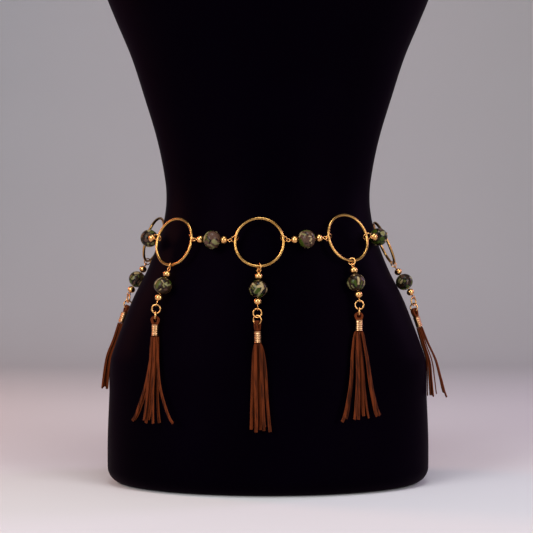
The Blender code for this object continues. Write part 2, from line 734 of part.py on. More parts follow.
def build_closure(start, end, metal):
    """The clasp hangs on the right-hand ring, and the chain runs from it to the left-hand one."""
    spread = closure_points(start, end, 60)
    lengths = [(b - a).length for a, b in zip(spread, spread[1:])]

    def at(distance):
        for a, b, length in zip(spread, spread[1:], lengths):
            if distance <= length:
                break
            distance -= length
        way = (b - a).normalized()
        return a + way * distance, way

    jump_far_wire = SIDE_JUMP_SHIFT + SIDE_JUMP_RADIUS
    clasp_near_wire = jump_far_wire - (SIDE_JUMP_WIRE + CLASP_WIRE) / 2 + SOLDER
    clasp_far_wire = clasp_near_wire + CLASP_LENGTH - CLASP_WIRE
    point, way = at(SIDE_JUMP_SHIFT)
    jump = torus(frame(point, way, UP.cross(way)), SIDE_JUMP_RADIUS, SIDE_JUMP_WIRE, JUMP_SEGMENTS)
    point, way = at((clasp_near_wire + clasp_far_wire) / 2)
    named("clasp", metal, fused([clasp_hoop(frame(point, way, UP)), jump]))

    first_wire = clasp_far_wire - (CLASP_WIRE + CHAIN_WIRE) / 2 - LOOP_GAP
    last_wire = sum(lengths) + (RING_WIRE + CHAIN_WIRE) / 2 + LOOP_GAP
    lap = CHAIN_WIRE - SOLDER
    steps = 2 * round((last_wire - first_wire) / (CHAIN_LINK - CHAIN_WIRE - lap) / 2)
    radius = (last_wire - first_wire + steps * lap) / (2 * steps + 2)
    pieces = []
    for k in range(steps + 1):
        point, way = at(first_wire + radius + (2 * radius - lap) * k)
        across = UP.cross(way) if k % 2 == 0 else UP
        pieces.append(torus(frame(point, way, across), radius, CHAIN_WIRE, CHAIN_SEGMENTS))
    named("chain", metal, fused(pieces))


def main():
    clear_scene()
    belt = bpy.data.collections.new("Belt on form")
    bpy.context.scene.collection.children.link(belt)
    metal = make_material("Gold plated metal", (0.72, 0.45, 0.16), 0.22, 1.0)
    stone = make_material("Mottled green and brown stone", (0.12, 0.10, 0.05), 0.25, 0.0)
    suede = make_material("Brown suede", (0.16, 0.045, 0.015), 0.85, 0.0)
    black = make_material("Black satin plastic", (0.008, 0.007, 0.009), 0.42, 0.0)
    build_form(black)
    rings, links, closure = belt_layout()
    for name, place in rings.items():
        build_ring(name, place, metal)
    for name, (left, right) in links:
        build_link(name, rings[left], rings[right], metal, stone)
    for drop in DROPS:
        build_drop(drop, rings[drop.ring], metal, stone, suede)
    build_closure(*closure, metal)


main()
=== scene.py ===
"""The looks of a beaded hip belt on a limbless torso form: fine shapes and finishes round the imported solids.

Lengths are in metres. The front faces -Y, and left and right are those of a viewer who faces the front.
The layout functions follow the same rules, with the same values, as the solids, and each finished piece is
checked against the box of the solid that it stands for.
"""

import math
from collections import namedtuple

import bpy
from mathutils import Matrix, Vector, noise


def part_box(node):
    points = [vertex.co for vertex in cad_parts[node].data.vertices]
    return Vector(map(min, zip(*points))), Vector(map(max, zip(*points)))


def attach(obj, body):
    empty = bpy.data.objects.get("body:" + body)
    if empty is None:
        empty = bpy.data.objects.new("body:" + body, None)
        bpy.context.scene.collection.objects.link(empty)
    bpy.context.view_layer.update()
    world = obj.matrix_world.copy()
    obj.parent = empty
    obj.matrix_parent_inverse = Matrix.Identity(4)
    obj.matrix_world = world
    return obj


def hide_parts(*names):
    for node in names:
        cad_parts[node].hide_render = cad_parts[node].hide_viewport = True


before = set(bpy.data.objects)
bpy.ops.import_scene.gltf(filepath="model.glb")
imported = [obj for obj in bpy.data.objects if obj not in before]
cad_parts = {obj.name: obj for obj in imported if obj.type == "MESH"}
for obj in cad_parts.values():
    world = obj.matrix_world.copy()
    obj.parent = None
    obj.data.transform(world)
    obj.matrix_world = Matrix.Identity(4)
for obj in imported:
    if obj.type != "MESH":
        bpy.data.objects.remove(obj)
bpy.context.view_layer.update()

bl_info = {
    "name": "Beaded belt",
    "version": (1, 0, 0),
    "blender": (4, 5, 0),
    "location": "View3D > Sidebar > Belt",
    "description": "Makes the fine pieces and finishes of a beaded belt on its torso form",
    "category": "Object",
}

UP = Vector((0, 0, 1))

# The form: one row for each level, from the base to the top of the neck.
Section = namedtuple("Section", "height half_width front back")
SECTIONS = [
    Section(0.000, 0.1665, 0.1090, 0.1160),
    Section(0.045, 0.1665, 0.1085, 0.1200),
    Section(0.090, 0.1648, 0.1055, 0.1220),
    Section(0.125, 0.1636, 0.1020, 0.1190),
    Section(0.145, 0.1575, 0.0995, 0.1150),
    Section(0.165, 0.1500, 0.0970, 0.1095),
    Section(0.190, 0.1400, 0.0935, 0.1020),
    Section(0.220, 0.1250, 0.0895, 0.0945),
    Section(0.250, 0.1133, 0.0850, 0.0880),
    Section(0.270, 0.1082, 0.0810, 0.0850),
    Section(0.290, 0.1057, 0.0780, 0.0830),
    Section(0.312, 0.1069, 0.0770, 0.0830),
    Section(0.354, 0.1152, 0.0805, 0.0865),
    Section(0.400, 0.1290, 0.0900, 0.0920),
    Section(0.440, 0.1420, 0.1030, 0.0965),
    Section(0.480, 0.1588, 0.1170, 0.1000),
    Section(0.505, 0.1685, 0.1225, 0.1015),
    Section(0.545, 0.1775, 0.1215, 0.1030),
    Section(0.590, 0.1770, 0.1060, 0.1030),
    Section(0.622, 0.1650, 0.0900, 0.0960),
    Section(0.645, 0.1390, 0.0770, 0.0860),
    Section(0.662, 0.1000, 0.0660, 0.0740),
    Section(0.678, 0.0680, 0.0575, 0.0630),
    Section(0.698, 0.0560, 0.0530, 0.0560),
    Section(0.735, 0.0540, 0.0510, 0.0540),
]
BASE_ROUND = 0.016
NECK_ROUND = 0.005

# The belt's hardware, as in the solids.
GAP = 0.0003
LOOP_GAP = 0.0005
SURFACE_GAP = 0.0006
RING_DIAMETER = 0.050
RING_WIRE = 0.0028
# How far, in degrees, each ring hangs below the two side jump rings that hold it.
HANG = {
    "front": 9.5,
    "left_1": 10.5,
    "left_2": 3.5,
    "left_3": 9.5,
    "right_1": 2.5,
    "right_2": 19,
    "right_3": 9.5,
}
SIDE_JUMP_DIAMETER = 0.0078
SIDE_JUMP_WIRE = 0.0011
SIDE_JUMP_PLAY = 0.0008
LINK_JUMP_DIAMETER = 0.0090
LINK_JUMP_PLAY = 0.0004
LINK_ROLL = math.radians(-38)
LINK_DROOP = {"left_1": (0.0014, 0.0018), "right_1": (0.0020, 0.0004)}
LEAST_DROOP = (0.0008, 0.0008)
LOW_JUMP_DIAMETER = 0.0100
LOW_JUMP_WIRE = 0.0015
EYE_RADIUS = 0.00175
PIN_WIRE = 0.0009
NECK_OF_EYE = 0.0005
EYE = {"loop_radius": EYE_RADIUS, "wire_diameter": PIN_WIRE, "cut": 0.06, "cut_at": 0.2}
METAL_BEAD = 0.0080
METAL_BEAD_HEIGHT = 0.0072
STONE = 0.0180
STONE_HEIGHT = 0.0170
STONE_BORE = 0.0016
SOLDER = 0.00015
HANGER_ROLL = math.radians(35)

# Where the belt lies.
BELT_HEIGHT = 0.250
BELT_OFFSET = 0.0098
LEFT_STANDOFF = 0.0040
PIN_STANDOFF = 0.0032
RING_LIE = 0.0082
RING_MOST_TILT = math.radians(29)
FRONT_RING_SHIFT = -0.0087
BELT_RISE = 0.0034
BELT_TILT = 0.0008
RINGS_EACH_SIDE = 3

# The closure at the back.
CHAIN_LINK = 0.0092
CHAIN_WIRE = 0.0016
CLASP_LENGTH = 0.0150
CLASP_WIDTH = 0.0075
CLASP_WIRE = 0.0018
CHAIN_OFFSET = 0.0045
LEVER = [(-0.0030, -0.0036), (-0.0010, -0.0043), (0.0012, -0.0045)]
LEVER_WIDTH = 0.0016
LEVER_THICKNESS = 0.0008

# The tassels.
CORD_WIDTH = 0.0030
STRANDS = 8
LAYERS = 4
LAYER_PITCH = 0.0016
STRAND_SEGMENTS = 4
BAND_LENGTH = 0.0103
BAND_WALL = 0.0006
CORE_RADIUS = 0.0024
COLLAR_HEIGHT = 0.0026
LOW_JUMP_REST = 0.0030
STRAP_REST = 0.0050

# One row for each drop: its ring, its leans and turns in degrees, and its tassel's spread. The leans are
# those of the pin, the lower jump rings and the tassel towards the viewer's right, along the ring. The
# turns are the ways that the two lower jump rings face. The neck is the bare wire above the pin's lower eye,
# and the band's top is measured down from the wire that the tassel hangs on. The length is that of the cords
# below the band. Early is the share of their fanning out that comes at once, and the rest comes slowly. The
# flare is how far the outer cords stand away from the form at their tips, uneven is the most that a cord is
# cut short, and the tips are the cords' distances from the tassel's own line, the left column's first.
DROP_FIELDS = "ring pin_lean jump_lean tassel_lean turn_a turn_b neck band_top length early flare uneven tips"
Drop = namedtuple("Drop", DROP_FIELDS)
DROPS = [
    Drop("front", -1.5, -1, 1.5, -20, 24, 0.0013, 0.0070, 0.0850, 0.65, 0.002, 0.0050,
         (-0.0084, -0.0078, -0.0036, -0.0030, 0.0002, 0.0036, 0.0044, 0.0100)),
    Drop("left_1", -7, -6, 3, -34, 50, 0.0018, 0.0052, 0.0850, 0.15, 0.004, 0.0036,
         (-0.0280, -0.0262, -0.0074, -0.0080, -0.0068, 0.0062, 0.0063, 0.0290)),
    Drop("left_2", 8, 8, 12, -40, 50, 0.0002, 0.0054, 0.0715, 0.20, 0.001, 0.0036,
         (-0.0100, -0.0070, -0.0040, -0.0020, 0.0010, 0.0030, 0.0050, 0.0080)),
    Drop("right_1", 0, -3, -2, 24, -56, 0.0004, 0.0041, 0.0850, 0.35, 0.004, 0.0030,
         (-0.0226, -0.0165, -0.0130, -0.0050, 0.0035, 0.0095, 0.0150, 0.0205)),
    Drop("right_2", -9, -10, -4, 44, -44, 0.0006, 0.0062, 0.0730, 0.30, 0.0135, 0.0036,
         (-0.0150, -0.0110, -0.0070, -0.0040, 0.0000, 0.0040, 0.0080, 0.0200)),
]
STRAND_LAYERS = (1, 0, 3, 2)
# The part of a cord's length over which the early fanning comes, and the powers that hold the rest and
# the flare of the inner cords back.
EARLY_SHARE = 0.15
LATE_POWER = 2.8
FLARE_POWER = 2.5
# The gap between the two columns of cords, how far a cord sways and turns, and how square its edges are.
COLUMN_GAP = 0.0002
SWAY = 0.0012
TWIST = 0.7
EDGE_POWER = 0.45

RING_RADIUS = (RING_DIAMETER - RING_WIRE) / 2
SIDE_JUMP_RADIUS = (SIDE_JUMP_DIAMETER - SIDE_JUMP_WIRE) / 2
LINK_JUMP_RADIUS = (LINK_JUMP_DIAMETER - SIDE_JUMP_WIRE) / 2
LOW_JUMP_RADIUS = (LOW_JUMP_DIAMETER - LOW_JUMP_WIRE) / 2
HANGER_REACH = SIDE_JUMP_DIAMETER / 2 * math.cos(HANGER_ROLL)
BAND_RADIUS = CORE_RADIUS + GAP + BAND_WALL
DROP_HALF = STONE_HEIGHT / 2 + METAL_BEAD_HEIGHT + EYE_RADIUS + PIN_WIRE / 2 + GAP - SOLDER
LINK_HALF = DROP_HALF + SOLDER + NECK_OF_EYE
BEAD_PITCH = (STONE_HEIGHT + METAL_BEAD_HEIGHT) / 2 + GAP
SIDE_JUMP_SHIFT = SIDE_JUMP_RADIUS - SIDE_JUMP_WIRE / 2 - RING_WIRE / 2 - SIDE_JUMP_PLAY
EYE_SHIFT = SIDE_JUMP_RADIUS - SIDE_JUMP_WIRE / 2 - PIN_WIRE / 2 + EYE_RADIUS
LINK_JUMP_SHIFT = SIDE_JUMP_SHIFT + LINK_JUMP_RADIUS - SIDE_JUMP_RADIUS - LINK_JUMP_PLAY
LINK_REACH = LINK_JUMP_SHIFT + EYE_SHIFT + LINK_JUMP_RADIUS - SIDE_JUMP_RADIUS + SOLDER

# How finely the pieces are divided.
FORM_TURN = 160
FORM_STEP = 0.0045
BASE_STEPS = 12
NECK_STEPS = 8
RING_TURN = 144
RING_AROUND = 24
STONE_TURN = 56
STONE_STEPS = 40
CORD_STEPS = 36
CORD_AROUND = 16
FOLD_STEPS = 40
PLUG_TURN = 32
SHEET_TURN = 84
SHEET_STEPS = 40
HOOK_TURN = 72
HOOK_AROUND = 16
LEVER_STEPS = 16

# The cords over the lowest jump ring: the inner and the outer fold.
FOLD_RADII = (0.00250, 0.00378)
FOLD_EASE = 0.00012
FOLD_APART = 0.00184
FOLD_WIDTH = 0.00176
FOLD_THICKNESS = 0.00115
FOLD_LEG = 0.0013
FOLD_INTO_CLAMP = 0.0010

# The clamps' sheet: it overlaps itself at the front, over the last part of its way round.
SHEET = 0.00040
SHEET_EASE = 0.0001
SHEET_START = math.radians(-8)
SHEET_SWEEP = math.radians(392)
LAP_START = 0.86
TOP_FLARE = 0.0004
LOW_FLARE = 0.0002
SQUARENESS = 0.035

# How far a piece may reach past the boxes of its solids, the scale of the stones' cells, and how soft and
# how uneven a stroke's edge is.
BOX_SLACK = 0.004
CELL_SCALE = 230.0
STROKE_SOFT = 0.0007
STROKE_WOBBLE = 0.0018

# The stones' colours.
BLACK = (0.002, 0.001, 0.001)
UMBER = (0.021, 0.011, 0.006)
MOSS = (0.030, 0.049, 0.004)
OLIVE = (0.066, 0.070, 0.016)
CREAM = (0.31, 0.23, 0.11)
SAGE = (0.172, 0.158, 0.065)
MAUVE = (0.072, 0.037, 0.025)
BROWN = (0.045, 0.025, 0.010)

# The stones: the seed of each bead's cells, its body colour at the front, and the strokes on that colour,
# as (colour, half width, start, end). Places are shares of the bead's radius, to the right and up.
Stone = namedtuple("Stone", "seed body strokes")
STONES = {
    "link_stone_left_1": Stone(3, MAUVE, (
        (SAGE, 0.11, (-0.47, 0.82), (-0.80, 0.26)), (CREAM, 0.07, (-0.80, 0.26), (-0.92, -0.20)),
        (MOSS, 0.12, (-0.56, 0.56), (-0.67, -0.04)), (OLIVE, 0.07, (-0.45, 0.02), (-0.33, -0.20)),
        (BLACK, 0.07, (-0.47, 0.31), (-0.16, -0.15)), (BLACK, 0.10, (-0.16, -0.15), (-0.27, -0.36)),
        (SAGE, 0.21, (0.20, -0.16), (0.46, -0.42)), (SAGE, 0.08, (0.55, -0.40), (0.80, -0.46)),
        (BLACK, 0.08, (0.49, 0.04), (0.95, -0.33)), (UMBER, 0.07, (0.12, -0.52), (0.70, -0.65)),
        (SAGE, 0.08, (-0.47, -0.56), (-0.16, -0.57)), (SAGE, 0.10, (-0.14, -0.56), (0.17, -0.86)),
        (UMBER, 0.13, (-0.72, -0.58), (-0.74, -0.54)), (BROWN, 0.06, (0.72, 0.36), (0.74, 0.20)),
    )),
    "link_stone_left_2": Stone(7, BROWN, ()),
    "link_stone_left_3": Stone(1, OLIVE, ()),
    "link_stone_right_1": Stone(5, MAUVE, (
        (OLIVE, 0.11, (-0.25, 0.88), (0.25, 0.86)), (CREAM, 0.13, (-0.72, 0.50), (-0.86, 0.28)),
        (SAGE, 0.10, (-0.52, 0.55), (-0.21, 0.44)), (BROWN, 0.08, (-0.43, 0.36), (-0.40, 0.34)),
        (BLACK, 0.08, (-0.18, 0.70), (0.06, 0.44)), (BLACK, 0.07, (-0.70, 0.17), (-0.66, 0.16)),
        (MOSS, 0.24, (-0.74, -0.14), (-0.45, -0.66)), (OLIVE, 0.10, (-0.40, -0.70), (0.31, -0.90)),
        (UMBER, 0.08, (-0.20, -0.50), (0.05, -0.52)), (CREAM, 0.07, (0.22, 0.29), (0.45, 0.24)),
        (BROWN, 0.07, (-0.06, 0.20), (-0.05, 0.18)), (BROWN, 0.07, (0.27, 0.16), (0.29, 0.14)),
        (CREAM, 0.06, (0.57, 0.52), (0.59, 0.46)), (BROWN, 0.08, (0.38, 0.56), (0.42, 0.50)),
        (CREAM, 0.10, (0.49, -0.04), (0.36, -0.20)), (CREAM, 0.08, (0.49, -0.42), (0.49, -0.46)),
        (BROWN, 0.09, (0.64, -0.24), (0.68, -0.34)), (BLACK, 0.06, (0.70, 0.38), (0.61, 0.18)),
        (BLACK, 0.05, (0.30, -0.38), (0.40, -0.72)),
    )),
    "link_stone_right_2": Stone(9, MOSS, ()),
    "link_stone_right_3": Stone(4, MAUVE, ()),
    "drop_stone_front": Stone(12, BLACK, (
        (BROWN, 0.13, (0.62, 0.54), (0.74, 0.14)), (MAUVE, 0.13, (0.84, -0.14), (0.84, -0.30)),
        (MAUVE, 0.07, (-0.16, 0.86), (0.10, 0.86)), (BROWN, 0.12, (-0.30, 0.68), (-0.20, 0.56)),
        (SAGE, 0.09, (-0.86, 0.03), (-0.68, -0.66)), (OLIVE, 0.11, (-0.72, 0.36), (-0.50, 0.04)),
        (CREAM, 0.11, (-0.63, 0.58), (-0.42, 0.42)), (SAGE, 0.09, (-0.42, 0.42), (-0.16, 0.16)),
        (SAGE, 0.09, (-0.16, 0.16), (-0.42, -0.38)), (CREAM, 0.17, (0.02, 0.30), (0.42, 0.34)),
        (CREAM, 0.15, (0.32, 0.66), (0.52, 0.10)), (CREAM, 0.12, (0.50, 0.06), (0.30, -0.26)),
        (MOSS, 0.16, (0.10, -0.04), (-0.26, -0.42)), (SAGE, 0.15, (0.16, -0.40), (-0.02, -0.80)),
        (BLACK, 0.09, (-0.16, -0.74), (-0.08, -0.68)), (UMBER, 0.07, (-0.66, -0.20), (-0.66, -0.24)),
        (MOSS, 0.10, (0.43, -0.60), (0.18, -0.82)), (BLACK, 0.08, (-0.04, 0.48), (-0.02, 0.46)),
    )),
    "drop_stone_left_1": Stone(8, UMBER, (
        (CREAM, 0.10, (-0.36, 0.80), (-0.86, 0.22)), (OLIVE, 0.24, (-0.36, 0.40), (-0.64, 0.02)),
        (OLIVE, 0.10, (-0.72, -0.18), (-0.64, -0.22)), (CREAM, 0.06, (-0.08, 0.66), (0.18, 0.24)),
        (SAGE, 0.09, (0.18, 0.24), (0.50, 0.08)), (SAGE, 0.08, (0.52, 0.36), (0.30, 0.22)),
        (SAGE, 0.09, (0.56, 0.06), (0.84, 0.18)), (SAGE, 0.08, (0.10, 0.10), (0.16, -0.10)),
        (BLACK, 0.09, (0.08, 0.70), (0.32, 0.46)), (BLACK, 0.09, (-0.20, -0.16), (-0.36, -0.32)),
        (BLACK, 0.06, (0.05, -0.24), (0.08, -0.28)), (CREAM, 0.06, (-0.14, -0.34), (-0.36, -0.50)),
        (SAGE, 0.07, (-0.62, -0.68), (-0.32, -0.84)), (MAUVE, 0.10, (0.20, -0.40), (0.50, -0.40)),
        (BROWN, 0.08, (-0.06, 0.30), (-0.08, 0.16)),
    )),
    "drop_stone_left_2": Stone(6, OLIVE, ()),
    "drop_stone_right_1": Stone(2, UMBER, (
        (MOSS, 0.18, (-0.48, 0.10), (-0.44, 0.14)), (MOSS, 0.16, (-0.24, 0.14), (-0.06, -0.34)),
        (MOSS, 0.11, (0.48, -0.40), (0.44, -0.62)), (BROWN, 0.14, (-0.80, 0.44), (-0.74, 0.40)),
        (SAGE, 0.12, (-0.88, -0.10), (-0.64, -0.68)), (SAGE, 0.09, (-0.50, -0.38), (-0.34, -0.58)),
        (MAUVE, 0.14, (0.46, 0.46), (0.66, 0.24)), (CREAM, 0.12, (0.17, 0.54), (0.22, -0.14)),
        (CREAM, 0.08, (-0.28, 0.84), (-0.24, 0.80)), (CREAM, 0.07, (0.56, 0.80), (0.84, 0.48)),
        (CREAM, 0.10, (0.90, 0.20), (0.86, -0.22)), (SAGE, 0.07, (0.74, -0.50), (0.56, -0.80)),
        (UMBER, 0.07, (0.44, 0.66), (0.48, 0.62)), (BLACK, 0.09, (-0.46, 0.46), (-0.62, 0.62)),
        (BLACK, 0.08, (-0.34, -0.20), (-0.12, -0.62)), (OLIVE, 0.10, (0.60, 0.06), (0.56, -0.16)),
    )),
    "drop_stone_right_2": Stone(10, MOSS, ()),
}


# Places, by the same rules as the solids


def section(height):
    """The form's half width, front depth and back depth at a height, on a smooth curve through the rows."""
    rows = SECTIONS
    height = min(max(height, rows[0].height), rows[-1].height)
    i = max(k for k in range(len(rows) - 1) if rows[k].height <= height)
    low, high = rows[i], rows[i + 1]
    before, after = rows[max(i - 1, 0)], rows[min(i + 2, len(rows) - 1)]
    span = high.height - low.height
    t = (height - low.height) / span
    values = []
    for column in ("half_width", "front", "back"):
        v0, v1, v2, v3 = (getattr(row, column) for row in (before, low, high, after))
        slope_low = (v2 - v0) / (high.height - before.height) * span
        slope_high = (v3 - v1) / (after.height - low.height) * span
        values.append(
            v1 * (2 * t**3 - 3 * t**2 + 1)
            + slope_low * (t**3 - 2 * t**2 + t)
            + v2 * (3 * t**2 - 2 * t**3)
            + slope_high * (t**3 - t**2)
        )
    return values


def form_point(angle, height, inset=0.0):
    """A point on the form. Angle 0 is the middle of the front, and grows towards +X."""
    half_width, front, back = section(height)
    depth = front if math.cos(angle) > 0 else back
    x = (half_width - inset) * math.sin(angle)
    y = -(depth - inset) * math.cos(angle)
    return Vector((x, y, height))


def clearance(point):
    """How far a point near the form lies outside its surface."""

    def value(p):
        half_width, front, back = section(p.z)
        return math.hypot(p.x / half_width, p.y / (front if p.y < 0 else back)) - 1

    step = 1e-4
    steepness = Vector(
        (value(point + axis * step) - value(point - axis * step)) / (2 * step)
        for axis in (Vector((1, 0, 0)), Vector((0, 1, 0)), UP)
    )
    return value(point) / steepness.length


def belt_point(angle, offset=BELT_OFFSET):
    """A point on the belt's line, this far out from the form."""
    height = BELT_HEIGHT + BELT_RISE * math.sin(angle) ** 2 + BELT_TILT * math.sin(angle)
    half_width, front, back = section(height)
    depth = front if math.cos(angle) > 0 else back
    outward = Vector((depth * math.sin(angle), -half_width * math.cos(angle), 0)).normalized()
    return form_point(angle, height) + outward * (offset + LEFT_STANDOFF * max(0, -math.sin(angle)) ** 2)


def along_belt(angle, distance):
    """The angle at which the belt's line is this far, straight, from where it is now."""
    start = belt_point(angle)
    near, far = 0.0, math.copysign(1.2, distance)
    for _ in range(50):
        middle = (near + far) / 2
        if (belt_point(angle + middle) - start).length < abs(distance):
            near = middle
        else:
            far = middle
    return angle + far


def first_clear(is_clear, most=60.0, step=0.25):
    """The smallest angle, from 0 in quarter degrees, at which the test passes."""
    degrees = 0.0
    while degrees < most and not is_clear(math.radians(degrees)):
        degrees += step
    return math.radians(degrees)


def ring_span(ring):
    """The distance, straight across a ring, between the two places where its side jump rings hold it."""
    return 2 * RING_RADIUS * math.cos(math.radians(HANG[ring]))


def ring_place(ring, left, right):
    """Where a ring lies between its two side jump rings: its middle, its tangent and its way down."""
    tangent = (right - left).normalized()
    outward = tangent.cross(UP).normalized()

    def tilted(tilt):
        down = outward * math.sin(tilt) - UP * math.cos(tilt)
        middle = (left + right) / 2 + down * RING_RADIUS * math.sin(math.radians(HANG[ring]))
        return middle, down

    def lies_along(tilt):
        middle, down = tilted(tilt)
        return tilt >= RING_MOST_TILT or clearance(middle + down * RING_RADIUS) >= RING_LIE

    def is_clear(tilt):
        middle, down = tilted(tilt)
        turns = [math.tau * k / 24 for k in range(24)]
        points = [middle + (tangent * math.cos(a) + down * math.sin(a)) * RING_RADIUS for a in turns]
        return all(clearance(p) >= HANGER_REACH + SURFACE_GAP for p in points)

    middle, down = tilted(max(first_clear(lies_along), first_clear(is_clear)))
    return {"middle": middle, "tangent": tangent, "down": down, "left": left, "right": right}


def link_reaches(name):
    """For a link's two ends: how far they hang below the line between its rings, and their reach along it."""
    droops = LINK_DROOP.get(name, LEAST_DROOP)
    return droops, [math.sqrt(LINK_REACH**2 - PIN_STANDOFF**2 - droop**2) for droop in droops]


def link_span(name):
    """The distance, straight across a link, between the two ring sides that it joins."""
    droops, reaches = link_reaches(name)
    return sum(reaches) + math.sqrt(4 * LINK_HALF**2 - (droops[0] - droops[1]) ** 2)


def link_eyes(name, left, right):
    """The middles of a link's two eyes, from the two ring sides that it joins, and the direction outwards."""
    droops, reaches = link_reaches(name)
    along = (right - left).normalized()
    outward = along.cross(UP).normalized()
    off = [outward * PIN_STANDOFF + along.cross(outward) * droop for droop in droops]
    return left + along * reaches[0] + off[0], right - along * reaches[1] + off[1], outward


def belt_layout():
    """Each ring's place by name, each link's two rings from left to right, and the closure's two angles."""
    start = math.asin(FRONT_RING_SHIFT / belt_point(math.pi / 2).x)
    left = along_belt(start, -ring_span("front") / 2)
    edges = {"front": (left, along_belt(left, ring_span("front")))}
    links = []
    for side, name in ((-1, "left"), (1, "right")):
        last, angle = "front", edges["front"][0 if side < 0 else 1]
        for k in range(1, RINGS_EACH_SIDE + 1):
            ring = f"{name}_{k}"
            near = along_belt(angle, side * link_span(ring))
            far = along_belt(near, side * ring_span(ring))
            edges[ring] = (min(near, far), max(near, far))
            links.append((ring, (last, ring) if side > 0 else (ring, last)))
            last, angle = ring, far
    rings = {ring: ring_place(ring, belt_point(a), belt_point(b)) for ring, (a, b) in edges.items()}
    closure = (edges[f"right_{RINGS_EACH_SIDE}"][1], edges[f"left_{RINGS_EACH_SIDE}"][0] + math.tau)
    return rings, links, closure


def hung(start, ring, lean, rests):
    """The direction in which a stiff piece hangs from start. rests are (distance along it, radius)."""
    down = ring["tangent"] * math.sin(math.radians(lean)) - UP * math.cos(math.radians(lean))
    outward = ring["tangent"].cross(UP).normalized()

    def direction(angle):
        return outward * math.sin(angle) + down * math.cos(angle)

    def is_clear(angle):
        return all(
            clearance(start + direction(angle) * along) >= radius + SURFACE_GAP for along, radius in rests
        )

    return direction(first_clear(is_clear))


def drop_layout(drop, ring):
    """The points and directions of the drop that hangs from a ring."""
    top = ring["middle"] + ring["down"] * RING_RADIUS
    eye = SIDE_JUMP_SHIFT + EYE_SHIFT - LOOP_GAP
    rests = [
        (eye + DROP_HALF - BEAD_PITCH, METAL_BEAD / 2),
        (eye + DROP_HALF, STONE / 2),
        (eye + DROP_HALF + BEAD_PITCH, METAL_BEAD / 2),
        (eye + 2 * DROP_HALF + drop.neck, EYE_RADIUS),
    ]
    pin_way = hung(top, ring, drop.pin_lean, rests)
    low_eye = top + pin_way * (eye + 2 * DROP_HALF + drop.neck)
    to_a = LOW_JUMP_RADIUS + EYE_RADIUS - (PIN_WIRE + LOW_JUMP_WIRE) / 2 - LOOP_GAP
    to_b = to_a + 2 * LOW_JUMP_RADIUS - LOW_JUMP_WIRE - LOOP_GAP
    to_head = to_b + LOW_JUMP_RADIUS
    jump_rests = [(to_a, LOW_JUMP_REST), (to_b, LOW_JUMP_DIAMETER / 2), (to_head, STRAP_REST)]
    jump_way = hung(low_eye, ring, drop.jump_lean, jump_rests)
    bundle = LAYERS * LAYER_PITCH / 2
    strands_start = drop.band_top + BAND_LENGTH + COLLAR_HEIGHT / 2
    band_rests = [(drop.band_top, BAND_RADIUS), (strands_start, bundle), (2 * strands_start, bundle)]
    band_way = hung(low_eye + jump_way * to_head, ring, drop.tassel_lean, band_rests)
    outward = ring["tangent"].cross(UP).normalized()
    turn = math.radians(drop.turn_b)
    jump_normal = jump_way.cross(ring["tangent"] * math.cos(turn) + outward * math.sin(turn)).normalized()
    spoke = (band_way - jump_normal * band_way.dot(jump_normal)).normalized()
    head = low_eye + jump_way * to_b + spoke * LOW_JUMP_RADIUS
    path = [head + band_way * strands_start]
    step = drop.length / STRAND_SEGMENTS
    for _ in range(STRAND_SEGMENTS):
        path.append(path[-1] + hung(path[-1], ring, drop.tassel_lean, [(step, bundle)]) * step)
    return {
        "tangent": ring["tangent"],
        "outward": outward,
        "top": top,
        "eye": top + pin_way * eye,
        "pin_way": pin_way,
        "stone": top + pin_way * (eye + DROP_HALF),
        "low_eye": low_eye,
        "jump_way": jump_way,
        "jump_a": low_eye + jump_way * to_a,
        "jump_b": low_eye + jump_way * to_b,
        "head": head,
        "band_way": band_way,
        "path": path,
    }


def closure_points(start, end, count):
    """Points at equal steps round the back, from one ring's side wire to the other's."""
    points = []
    for k in range(count + 1):
        share = k / count
        offset = BELT_OFFSET + (CHAIN_OFFSET - BELT_OFFSET) * math.sin(math.pi * share)
        points.append(belt_point(start + (end - start) * share, offset))
    return points


def place(centre, along, across):
    """A placement with its X axis along one direction and its Y axis as near as can be to the other."""
    x = along.normalized()
    z = x.cross(across).normalized()
    return Matrix.Translation(centre) @ Matrix((x, z.cross(x), z)).transposed().to_4x4()


def on_axis(centre, way):
    """A placement with its Z axis along one direction."""
    return Matrix.Translation(centre) @ way.to_track_quat("Z", "Y").to_matrix().to_4x4()


RINGS, LINKS, CLOSURE = belt_layout()
HUNG = {drop.ring: drop_layout(drop, RINGS[drop.ring]) for drop in DROPS}


# Meshes


class Shape:
    """The points, faces and UVs of one piece, gathered before its mesh is made."""

    def __init__(self):
        self.points, self.faces, self.uvs = [], [], []

    def skin(self, rows, closed=False, caps=True):
        """A skin over rows of points, closed round each row. closed also joins the last row to the first."""
        base, count, total = len(self.points), len(rows[0]), len(rows)
        self.points += [p for row in rows for p in row]
        for r in range(total if closed else total - 1):
            for k in range(count):
                low, high = base + r * count, base + (r + 1) % total * count
                self.faces.append((low + k, low + (k + 1) % count, high + (k + 1) % count, high + k))
                u, v, du, dv = r / total, k / count, 1 / total, 1 / count
                self.uvs.append(((u, v), (u, v + dv), (u + du, v + dv), (u + du, v)))
        if caps and not closed:
            for start, turn in ((base, -1), (base + (total - 1) * count, 1)):
                face = tuple(range(start, start + count))[::turn]
                self.faces.append(face)
                self.uvs.append(((0.5, 0.5),) * count)
        return self

    def mesh(self, name, sharp=50):
        mesh = bpy.data.meshes.new(name)
        mesh.from_pydata(self.points, [], self.faces)
        layer = mesh.uv_layers.new(name="UVMap")
        for face, uvs in zip(mesh.polygons, self.uvs):
            for loop, uv in zip(face.loop_indices, uvs):
                layer.data[loop].uv = uv
        mesh.shade_smooth()
        mesh.set_sharp_from_angle(angle=math.radians(sharp))
        return mesh


